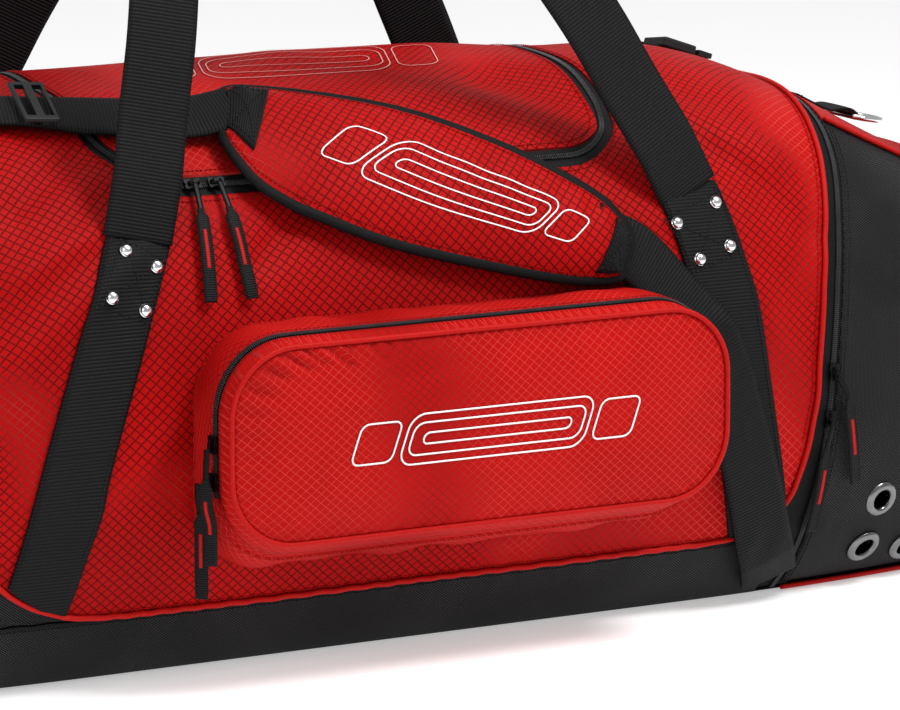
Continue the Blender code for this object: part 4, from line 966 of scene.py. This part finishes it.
def dome_set(name, node, spots, rear):
    """Domed rivets on washers, with the box stitch round them."""
    profile = np.array([(0.0050, 0.0), (0.0051, 0.0005), (0.0049, 0.0008), (0.0046, 0.0010), (0.0044, 0.0016),
                        (0.0038, 0.0026), (0.0029, 0.0034), (0.0017, 0.0039), (0.0006, 0.0041)])
    sides, rings = 24, len(profile)
    cell = grid_faces(sides, rings, True).tolist()
    cell += [[i * rings + end for i in range(sides)] for end in (0, rings - 1)]
    corners = np.array([(x, rear_angle(float(angle_at(x, z)), rear)) for x, z in spots])
    verts, faces = [], []
    for number, (x, a) in enumerate(corners):
        n = outward(x, a)
        s = unit(np.cross(n, np.array([0, 0, 1.0])))
        verts.append(turned(lifted(x, a, STRAP_LIFT), s, np.cross(n, s), n, profile, sides).reshape(-1, 3))
        faces += [[number * sides * rings + i for i in f] for f in cell]
    verts = np.concatenate(verts)
    make(name, "bag", "steel", verts, faces, verts[:, [0, 2]], node)
    middle = corners.mean(0)
    box_stitch(name + "_box_stitch", "bag", middle + (corners[[0, 1, 3, 2]] - middle) * 1.42, 14,
               lambda x, a: on_skin(x, a, STRAP_LIFT))


for face_name, rear in (("front", False), ("rear", True)):
    for side, line_of, edge_of in (("left", STRAP_LEFT, WRAP_LEFT), ("right", STRAP_RIGHT, WRAP_RIGHT)):
        sewn_strap(f"{face_name}_web_{side}", f"{face_name}_strap_{side}", line_of, edge_of, rear)
    for side, spots in (("left", RIVETS_LEFT), ("right", RIVETS_RIGHT)):
        dome_set(f"{face_name}_studs_{side}", f"{face_name}_rivets_{side}", spots, rear)

# ---- raised handles and their padded grips ----
HANDLE_Z, HANDLE_Y, HANDLE_LEAN, HANDLE_TOP = 0.328, 0.1935, 0.27, 0.625
SEAT_A = 34.0


def handle(face_name, sign, slope_left, slope_right):
    """A raised webbing loop and its grip; sign is -1 at the front and 1 at the rear."""
    rise = HANDLE_TOP - HANDLE_Z
    body = f"{face_name}_handle"

    def at(x, share):
        return x, sign * (HANDLE_Y - HANDLE_LEAN * rise * share), HANDLE_Z + rise * share

    legs = (-0.03, 0.2, 0.4, 0.6, 0.76)
    left = [at(-0.2225 + slope_left * rise * s, s) for s in legs]
    right = [at(0.2270 - slope_right * rise * s, s) for s in legs]
    low, high = left[-1][0], right[-1][0]
    arch = [(0.10, 0.87), (0.25, 0.955), (0.4, 0.99), (0.5, 1.0), (0.6, 0.99), (0.75, 0.955), (0.9, 0.87)]
    points = left + [at(low + (high - low) * k, lift) for k, lift in arch] + right[::-1]
    P = even(catmull(points, 10), 0.004)
    k = np.linspace(0, 1, len(P))
    for foot, near, line_of, shift in ((0, k, STRAP_LEFT, 0.0012), (-1, 1 - k, STRAP_RIGHT, 0)):
        seat = lifted(strap_x(line_of, SEAT_A) - shift, rear_angle(SEAT_A, sign > 0), 0.0020)
        P = P + (seat - P[foot]) * (np.clip(1 - near / 0.17, 0, 1) ** 1.6)[:, None]
    N = normals_to(P, (0, sign, HANDLE_LEAN))
    P = P + N * ((0.0016 * np.sin(k * 41) + 0.0022) * np.clip(np.minimum(k, 1 - k) / 0.06, 0, 1))[:, None]
    gap = np.abs(k - 0.5)
    narrow = 0.62 + 0.38 * ease((gap - 0.075) / 0.03)
    swept(body + "_web", body, "webbing", P, N, strap_profile(WEB_W, 0.0026, 13), body + "_loop",
          scale=(narrow, 1.0))
    core, up = even(P[gap < 0.092], 0.002, extra=(N[gap < 0.092],))
    g = np.linspace(-1, 1, len(core))
    fat = 0.80 + 0.20 * np.sqrt(np.clip(1 - np.abs(g) ** 8, 0, 1))
    ribs = fat * (1 + 0.018 * np.sin(np.arange(len(core)) * 2.1) * (np.abs(g) < 0.9))
    c, s = circle(1.0, 28).T
    ring = np.stack([0.0232 * np.sign(c) * np.abs(c) ** 0.8, 0.0118 * np.sign(s) * np.abs(s) ** 0.75], -1)
    grip = swept(f"{face_name}_grip_sleeve", body, "grip", core, up, ring, f"{face_name}_grip",
                 scale=(ribs, ribs))
    across = unit(np.cross(tangents(core), up))
    loop = np.concatenate([ring, ring[:1]])
    rows = []
    for share in (-0.92, 0.92, -0.86, 0.86):
        i = int(np.argmin(np.abs(g - share)))
        q = (across[i] * loop[:, :1] + up[i] * loop[:, 1:]) * fat[i]
        rows.append((core[i] + q, unit(q)))
    stitch(f"{face_name}_grip_stitches", body, rows)


handle("front", -1, 0.21, 0.58)
handle("rear", 1, 0.52, 0.52)

# ---- shoulder pad: its edges as x and angle, from the left end ----
PAD_UPPER = [(-0.110, 72), (-0.060, 68), (0.010, 60), (0.074, 49), (0.114, 41), (0.148, 33.5), (0.166, 26)]
PAD_LOWER = [(-0.138, 54), (-0.125, 43), (-0.093, 36), (-0.035, 28.5), (0.044, 22.5), (0.105, 19),
             (0.150, 18)]
PAD_EDGES = np.concatenate([catmull(PAD_LOWER, 24), catmull(PAD_UPPER, 24)], 1)
SPAN = 110
pick = np.linspace(0, len(PAD_EDGES) - 1, SPAN)
PAD_EDGES = [np.interp(pick, np.arange(len(PAD_EDGES)), column) for column in PAD_EDGES.T]


def pad_at(s, t, off=0.0):
    """The pad's top: s along it from the left end, t across it from its lower edge, both 0 to 1."""
    s, t = np.broadcast_arrays(np.asarray(s, float), np.asarray(t, float))
    round_end = 0.10 * (np.clip(1 - np.minimum(s, 1 - s) / 0.05, 0, 1) ** 2)
    tt = 0.5 + (t - 0.5) * (1 - 2 * round_end)
    lx, la, hx, ha = (np.interp(s * (SPAN - 1), np.arange(SPAN), column) for column in PAD_EDGES)
    x, a = lx + (hx - lx) * tt, la + (ha - la) * tt
    edge = np.minimum(np.minimum(t, 1 - t) * 2, np.minimum(s, 1 - s) * 9)
    crown = 1 - (1 - np.clip(edge, 0, 1)) ** 2.6
    gather = 0.0007 * np.sin(s * 70 + 6 * t) * np.clip(edge * 3, 0, 1) * np.exp(-((t - 0.82) / 0.2) ** 2)
    wrinkle = 0.0009 * ripple(x * 1.8 + 2, arc(a) * 1.8) + gather
    rise = 0.0128 + 0.0098 * crown + wrinkle * np.clip(edge * 4, 0, 1) + off
    n = outward(x, a)
    return skin(x, a) + n * (rise + 0.35 * folds(x, a))[..., None], n, x, a


s = np.linspace(0, 1, 130)[:, None]
t = 0.5 - 0.5 * np.cos(np.linspace(0, math.pi, 44))[None, :]
P, N, x, a = pad_at(s, t)
thick = np.linalg.norm(P - skin(x, a) - N * 0.0085, axis=-1, keepdims=True)
pad = shell("shoulder_pad_cushion", None, "red", P, N, thick, uv_grid(x, arc(a)), "shoulder_pad")
bend_with_pad(pad)
s = np.linspace(0.012, 0.988, 90)
t = np.linspace(0.04, 0.96, 24)
border = [uv_grid(s, 0.022), uv_grid(0.995, t), uv_grid(s[::-1], 0.978), uv_grid(0.005, t[::-1])]
P, N, _, _ = pad_at(*np.concatenate(border).T, -0.0016)
P, N = even(catmull(P[::2], 3, True), 0.003, True, extra=(catmull(N[::2], 3, True),))
profile = circle(1.0, 16) * (0.0048, 0.0030) + (0.0002, 0)
bend_with_pad(swept("shoulder_pad_binding", None, "binding", P, unit(N), profile, closed=True))
rows = [pad_at(side_s, inset, 0.0002)[:2] for side_s, inset in ((s, 0.070), (s[::-1], 0.930))]
bend_with_pad(stitch("shoulder_pad_stitches", None, rows, "thread_red"))


def pad_patch(name, s0, s1, t0, t1):
    """Webbing sewn over an end of the pad."""
    s = np.linspace(s0, s1, 26)[:, None]
    t = np.linspace(t0, t1, 20)[None, :]
    P, N, x, a = pad_at(s, t, 0.0019)
    uv = uv_grid((t - t0) * 0.062, (s - s0) * 0.33)
    bend_with_pad(shell(name, None, "webbing", P, N, 0.0026, uv))
    q, w = 0.10 * (s1 - s0), 0.08 * (t1 - t0)
    box = [(s0 + q, t0 + w), (s1 - q, t0 + w), (s1 - q, t1 - w), (s0 + q, t1 - w)]
    bend_with_pad(box_stitch(name + "_stitches", None, box, 16, lambda s, t: pad_at(s, t, 0.0020)[:2]))


pad_patch("pad_patch_left", 0.010, 0.120, 0.16, 0.86)
pad_patch("pad_patch_right", 0.900, 0.992, 0.10, 0.90)


# ---- printed marks: plain outlined shapes, with no lettering ----
def print_line(name, body, P, N, width, ink):
    """A thin printed line laid on the cloth along a closed path."""
    S = unit(np.cross(tangents(P, True), N))
    u = np.array([[-0.5, 0.5]]) * width
    G = P[:, None] + S[:, None] * u[..., None] + N[:, None] * 0.00050
    uv = uv_grid(u, lengths(P)[:, None])
    return shell(name, body, ink, G, np.repeat(N[:, None], 2, 1), 0.00012, uv, close_rows=True)


def slanted_bar(cx, w, h, r):
    """A rounded parallelogram's outline in the plane, centred at (cx, 0)."""
    points = []
    for sx, sz, start in ((1, 1, 0), (-1, 1, 90), (-1, -1, 180), (1, -1, 270)):
        t = np.radians(start + np.linspace(0, 90, 16))
        z = sz * (h / 2 - r) + r * np.sin(t)
        points.append(np.stack([cx + sx * (w / 2 - r) + r * np.cos(t) + 0.35 * z, z], -1))
    return np.concatenate(points)


# Place, width, height and corner of each bar, as shares of the mark's width and height.
BARS = ((0, 0.60, 1, 0.30), (0, 0.56, 0.64, 0.20), (-0.39, 0.13, 0.80, 0.16), (0.39, 0.13, 0.80, 0.16),
        (0, 0.48, 0.22, 0.10))


def marks(where, name, body, bend, width, tall, line_width, ink="print"):
    """Three nested slanted bars in outline, and a short one at each side."""
    for i, (at, wide, high, r) in enumerate(BARS):
        shape = even(slanted_bar(at * width, wide * width, high * tall, r * tall), 0.0022, True)
        P, N = where(shape[:, 0], shape[:, 1])
        P, N = even(P, 0.0022, True, extra=(N,))
        piece = print_line(f"{name}_{i + 1}", body, P, unit(N), line_width, ink)
        if bend:
            bend(piece)


def pad_print(u, v):
    """The pad's top at u along it and v across it, in metres from the mark's centre."""
    return pad_at(0.545 + u / 0.335, 0.50 + v / 0.080)[:2]


def face_print(u, v):
    """The pocket face at u, v metres from the mark's centre, found from the face's own rings."""
    u, v = u + 0.012, v + 0.181
    grid = face.reshape(-1, 3)
    near = (grid[None, :, 0] - u[:, None]) ** 2 + (grid[None, :, 2] - v[:, None]) ** 2
    pick = np.argsort(near, axis=1)[:, :6]
    w = 1 / (np.take_along_axis(near, pick, 1) + 1e-7)
    y = (grid[pick, 1] * w).sum(1) / w.sum(1)
    return np.stack([u, y - 0.0003, v], -1), np.repeat([[0, -1.0, 0]], len(u), 0)


def lid_print(u, v):
    return on_top(np.stack([u - 0.012, v - 0.004], -1), 0.0004)


marks(pad_print, "pad_mark", None, bend_with_pad, 0.190, 0.030, 0.0011)
marks(face_print, "pocket_mark", "pocket_flap", None, 0.250, 0.036, 0.0013)
marks(lid_print, "lid_mark", None, bend_at_hinge, 0.260, 0.066, 0.0009, "faded_print")


# ---- shoulder webbing and the rear compression strap ----
def skin_ribbon(spine, width, off, cols=13, wave=None):
    """A strap lying along the spine's (x, angle) points: its grid, outward directions and UVs."""
    x, a = catmull(spine, 14).T
    P0 = skin(x, a)
    S = unit(np.cross(outward(x, a), tangents(P0)))
    around = (skin(x, a + 1) - skin(x, a - 1)) / 2
    u = np.linspace(-0.5, 0.5, cols)[None, :]
    X = x[:, None] + S[:, 0:1] * u * width
    per_degree = np.maximum(np.linalg.norm(around, axis=-1), 1e-6)
    A = a[:, None] + (np.sum(S * unit(around), -1) / per_degree)[:, None] * u * width
    rise = off + (wave(np.linspace(0, 1, len(x))[:, None], u) if wave else 0)
    P, N = on_skin(X, A, rise - np.where(np.abs(u) > 0.47, 0.0006, 0))
    return P, N, uv_grid(u * width, lengths(P0)[:, None])


def left_wave(k, u):
    return 0.0085 * np.clip(1 - k / 0.22, 0, 1) ** 1.5 + 0.0012 * np.sin(9 * k + 2 * u)


def right_wave(k, u):
    """The strap leaves the pad, dips beside the pocket's corner, folds once and goes under the base."""
    leave = 0.0085 * np.clip(1 - k / 0.12, 0, 1) ** 1.5
    fold = 0.0050 * np.exp(-((k - 0.42 - 0.06 * u) / 0.035) ** 2) * (0.5 + u)
    dip = 0.0085 * np.exp(-((k - 0.30) / 0.10) ** 2) * np.clip(u + 0.35, 0, 1)
    return leave + fold - dip - 0.0070 * np.clip((k - 0.90) / 0.10, 0, 1)


LEFT_SPINE = [(-0.118, 62.6), (-0.135, 62.9), (-0.151, 63.2), (-0.168, 63.8), (-0.185, 64.5), (-0.220, 67),
              (-0.255, 69.5), (-0.300, 73), (-0.345, 77), (-0.390, 81), (-0.430, 85), (-0.456, 87.5)]
RIGHT_SPINE = [(0.135, 26.5), (0.150, 25.2), (0.166, 23.0), (0.185, 18.6), (0.203, 13.4), (0.219, 8.6),
               (0.234, 3.0), (0.247, -2.5), (0.259, -9.5), (0.270, -17), (0.283, -26.5), (0.297, -35),
               (0.310, -42.5)]
P, N, uv = skin_ribbon(LEFT_SPINE, 0.046, 0.0102, wave=left_wave)
left_web = shell("shoulder_strap_left", None, "webbing", P, N, 0.0024, uv, "shoulder_web_left")
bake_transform(left_web)
P, N, uv = skin_ribbon(RIGHT_SPINE, 0.0455, 0.0114, wave=right_wave)
shell("shoulder_strap_right", "bag", "webbing", P, N, 0.0024, uv, "shoulder_web_right")
P, N, uv = skin_ribbon([(0.262, 100), (0.282, 100), (0.305, 100), (0.327, 100)], 0.025, 0.0026, 9)
shell("compression_strap", "bag", "narrow_webbing", P, N, 0.0018, uv, "rear_strap_fixed")


# ---- rings and tabs ----
def d_ring(name, node, side, lift):
    pivot = section(side * 0.471, 90) + np.array([side * 0.003, 0, 0.0048 + lift])
    turn = Matrix.Translation(Vector(pivot)) @ Matrix.Rotation(side * math.radians(11), 4, "Y") \
        @ Matrix.Rotation(-side * math.pi / 2, 4, "Z")
    flat = [(x, 0) for x in np.linspace(-0.021, 0.021, 9)]
    flat += [(0.025 * math.cos(r), 0.006 + 0.028 * math.sin(r)) for r in np.linspace(0, math.pi, 25)]
    P = even(np.array([turn @ Vector((x, y, 0)) for x, y in flat]), 0.0015, True)
    N = np.repeat([np.array(turn.to_3x3() @ Vector((0, 0, 1)))], len(P), 0)
    swept(name, node, "steel", P, N, circle(0.0023, 12), node, True)


def ring_tab(name, body, node, side, lift):
    """Webbing over the ring's straight side and sewn down on both sides of it."""
    rows = catmull([(-0.045, 0.0008), (-0.030, 0.0010), (-0.015, 0.0022), (-0.007, 0.0062), (0.000, 0.0100),
                    (0.0060, 0.0114), (0.0118, 0.0098)], 6)
    y = np.linspace(-0.019, 0.019, 13)[None, :] + 0 * rows[:, 0:1]
    x = side * (0.468 + rows[:, 0:1]) + 0 * y
    z = section(x, top_angle_at(x, -np.abs(y) - 1e-6))[..., 2] + rows[:, 1:2] + lift + 0.0012
    P = np.stack([x, y, z], -1)
    N = unit(np.cross(np.gradient(P, axis=0), np.array([0, 1.0, 0])))
    N = np.where(N[..., 2:] < 0, -N, N)
    shell(name, body, "webbing", P, N, 0.0018, uv_grid(y, np.abs(x)), node)
    stitch(name + "_stitches", body, [(P[row, 1:-1], N[row, 1:-1]) for row in (2, 12)])


for name, side, tab_body, lift in (("left", -1, "bag", 0.0006), ("right", 1, "end_cap", 0.0030)):
    d_ring(f"strap_ring_{name}", f"ring_{name}", side, lift)
    ring_tab(f"ring_loop_{name}", tab_body, f"ring_tab_{name}", side, lift)

# ---- grommets ----
profile = np.array([(0.0080, -0.0030), (0.0079, 0.0010), (0.0083, 0.0024), (0.0093, 0.0034), (0.0108, 0.0037),
                    (0.0124, 0.0033), (0.0137, 0.0024), (0.0146, 0.0012), (0.0149, 0.0004), (0.0120, 0.0006),
                    (0.0092, 0.0004), (0.0088, -0.0030)])
for number, (x, z) in enumerate([(0.400, 0.071), (0.394, 0.032), (0.439, 0.026)]):
    a = float(angle_at(x, z))
    p, n = on_skin(x, a, 0)
    up = unit(skin(x, a + 1) - skin(x, a - 1))
    s = unit(np.cross(up, n))
    ring = turned(p, s, up, n, profile, 40).reshape(-1, 3)
    make(f"vent_grommet_{number + 1}", "end_cap", "grommet", ring, grid_faces(40, len(profile), True, True),
         ring[:, [0, 2]], f"grommet_{number + 1}")
    cutter = prism("vent", circle(0.0084, 24).tolist(), -0.02, 0.02)
    cutter.matrix_world = placed(s, up, n, p)
    cut(cap, cutter)


# ---- sliders and pulls ----
def add_block(bm, low, high):
    """A closed block between two outlines with the same number of points."""
    a, b = [bm.verts.new(p) for p in low], [bm.verts.new(p) for p in high]
    for i in range(len(a)):
        j = (i + 1) % len(a)
        bm.faces.new((a[i], a[j], b[j], b[i]))
    bm.faces.new(a[::-1])
    bm.faces.new(b)


def slider(name, matrix, node):
    """A zip slider: a waisted, bevelled body with a raised bridge."""
    outline = [(-0.0040, -0.0066), (0.0040, -0.0066), (0.0047, -0.0050), (0.0034, -0.0005), (0.0047, 0.0040),
               (0.0040, 0.0064), (0.0014, 0.0068), (0.0, 0.0056), (-0.0014, 0.0068), (-0.0040, 0.0064),
               (-0.0047, 0.0040), (-0.0034, -0.0005), (-0.0047, -0.0050)]
    bridge = [(-0.0052, 0.0006), (-0.0050, 0.0024), (-0.0030, 0.0036), (0.0005, 0.0038), (0.0034, 0.0028),
              (0.0042, 0.0006), (0.0032, 0.0006), (0.0022, 0.0020), (0.0, 0.0028), (-0.0026, 0.0026),
              (-0.0040, 0.0018), (-0.0042, 0.0006)]
    bm = bmesh.new()
    add_block(bm, [(x, y, -0.0012) for x, y in outline], [(x, y, 0.0006) for x, y in outline])
    add_block(bm, [(-0.0013, y, z) for y, z in bridge], [(0.0013, y, z) for y, z in bridge])
    bmesh.ops.recalc_face_normals(bm, faces=bm.faces)
    mesh = bpy.data.meshes.new(name)
    bm.to_mesh(mesh)
    bm.free()
    mesh.materials.append(M["gun"])
    obj = add_object(name, mesh)
    bevel = obj.modifiers.new("edges", "BEVEL")
    bevel.width = 0.00035
    bevel.segments = 2
    obj.matrix_world = matrix
    declare(obj, node, node)


def pull(name, points, out, node):
    """A pull: a metal loop and tab, then a fabric strip with a coloured line down its middle."""
    width = 0.0102
    path = even(catmull(points, 8), 0.0015)
    s = lengths(path)
    N = normals_to(path, unit(np.asarray(out, float)))
    tab, strip = s < 0.026, s > 0.021
    swept(name + "_tab", node, "gun", path[tab] + N[tab] * 0.0016, N[tab], strap_profile(0.0044, 0.0014, 5),
          node)
    n = N[strip]
    P = path[strip] + n * 0.0013
    k = np.linspace(0, 1, len(P))
    shape = np.clip(k / 0.10, 0.55, 1) * (1 - 0.10 * np.clip((k - 0.92) / 0.08, 0, 1))
    swept(name + "_strip", node, "narrow_webbing", P, n, strap_profile(width, 0.0024, 9), scale=(shape, 1.0))
    mid = slice(int(len(P) * 0.24), int(len(P) * 0.66))
    swept(name + "_flash", node, "red_flash", P[mid] + n[mid] * 0.0011, n[mid],
          strap_profile(0.0026, 0.0008, 5))
    S = unit(np.cross(tangents(P), n))
    rows = [((P + S * off * width + n * 0.0012)[2:-2], n[2:-2]) for off in (-0.36, 0.36)]
    stitch(name + "_stitches", node, rows, pitch=0.0026, length=0.0018, radius=0.0003)


def surface_matrix(x, a, turn):
    """A slider's place on the skin, turned about the outward direction."""
    p, z = on_skin(x, a, 0.0022)
    x_axis = unit(np.cross(unit(skin(x, a + 1) - skin(x, a - 1)), z))
    return placed(x_axis, np.cross(z, x_axis), z, p) @ Matrix.Rotation(turn, 4, "Z")


def hang(name, node, x, a0, lean, length, shift=0.0):
    """A pull hanging down the skin from (x, a0), which moves aside by shift near its top."""
    a = np.linspace(a0, a0 - 45, 400)
    s = np.linspace(0.002, length, 16)
    aside = shift * np.clip(s / 0.018, 0, 1) + lean * s
    P, N = on_skin(x + aside, np.interp(s, lengths(skin(x, a)), a), 0.0050)
    pull(name, P, N.mean(0), node)


for name, x, lean, turn in (("left", -0.169, -0.10, math.pi / 2), ("right", -0.150, 0.05, -math.pi / 2)):
    a = float(top_angle_at(x, LID_FRONT))
    slider(f"lid_zip_slider_{name}", surface_matrix(x, a, turn), f"lid_slider_{name}")
    hang(f"lid_zip_{name}", f"lid_pull_{name}", x, a, lean, 0.090)

for name, a, shift, lean, turn in (("upper", 0.0, 0.007, 0.18, 0), ("lower", -5.5, -0.004, -0.05, math.pi)):
    x = float(end_coil(a))
    slider(f"end_zip_slider_{name}", surface_matrix(x, a, 0.05 + turn), f"end_slider_{name}")
    hang(f"end_zip_{name}", f"end_pull_{name}", x, a, lean, 0.088, shift)

on_left = POCKET_FACE[:, 0] < -0.15
left_ring, left_n = pocket([0.685], -0.0024)[on_left, 0], zip_n[on_left]
for name, z, aside, turn in (("upper", 0.184, -0.004, 0), ("lower", 0.158, 0.012, math.pi)):
    i = int(np.argmin(np.abs(left_ring[:, 2] - z)))
    p = left_ring[i]
    y = unit(left_ring[i - 1] - left_ring[i + 1])
    x_axis = unit(np.cross(y, left_n[i]))
    matrix = placed(x_axis, y, np.cross(x_axis, y), p) @ Matrix.Rotation(turn, 4, "Z")
    slider(f"pocket_zip_slider_{name}", matrix, f"pocket_slider_{name}")
    points = []
    for s in (0.002, 0.012, 0.024, 0.034, 0.045, 0.056, 0.067, 0.078, 0.086):
        drop = p + np.array([-0.0030, aside, -s])
        j = int(np.argmin(np.abs(left_ring[:, 2] - max(drop[2], 0.125))))
        drop[0] = min(drop[0], left_ring[j, 0] - 0.0050 - 0.06 * s)
        points.append(drop)
    pull(f"pocket_zip_{name}", points, (-0.75, -0.66, 0), f"pocket_pull_{name}")

# ---- rigid nodes that keep their CAD shape ----
for node, finish in (("tri_glide", "plastic"), ("buckle_socket", "plastic"), ("buckle_plug", "plastic"),
                     ("base_board", "board")):
    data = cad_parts[node].data
    data.materials.clear()
    data.materials.append(M[finish])

# ---- floor and light ----
pale = Nodes("pale_floor")
cloud = pale.noise(pale.object_coords(), 3.0)
bpy.ops.mesh.primitive_plane_add(size=30, location=(0, 0, -0.0005))
floor = bpy.context.object
floor.name = "floor"
floor.data.materials.append(pale.finish(
    Base_Color=pale.mix(cloud, (0.86, 0.86, 0.86), (0.89, 0.89, 0.89)), Roughness=0.8,
    Emission_Color=(1.0, 1.0, 1.0, 1.0), Emission_Strength=0.40))

# The world is white: at full strength as seen by the camera, and at half strength as a light.
world = bpy.data.worlds.new("studio")
bpy.context.scene.world = world
world.use_nodes = True
background = world.node_tree.nodes["Background"]
background.inputs[0].default_value = (1.0, 1.0, 1.0, 1)
seen = world.node_tree.nodes.new("ShaderNodeLightPath")
strength = world.node_tree.nodes.new("ShaderNodeMapRange")
strength.inputs[3].default_value = 0.50
strength.inputs[4].default_value = 1.0
world.node_tree.links.new(seen.outputs["Is Camera Ray"], strength.inputs[0])
world.node_tree.links.new(strength.outputs[0], background.inputs[1])

for name, location, aim, size, power in (("key", (0.9, -1.3, 2.3), (0.05, 0, 0.25), 0.7, 47),
                                         ("top", (0.3, -0.3, 2.3), (0.05, 0, 0.3), 1.4, 24),
                                         ("rim", (-1.7, -0.9, 1.2), (-0.1, 0, 0.25), 0.9, 9)):
    light = add_object(name, bpy.data.lights.new(name, "AREA"))
    light.data.size = size
    light.data.energy = power
    light.location = location
    light.rotation_euler = (Vector(aim) - Vector(location)).to_track_quat("-Z", "Y").to_euler()
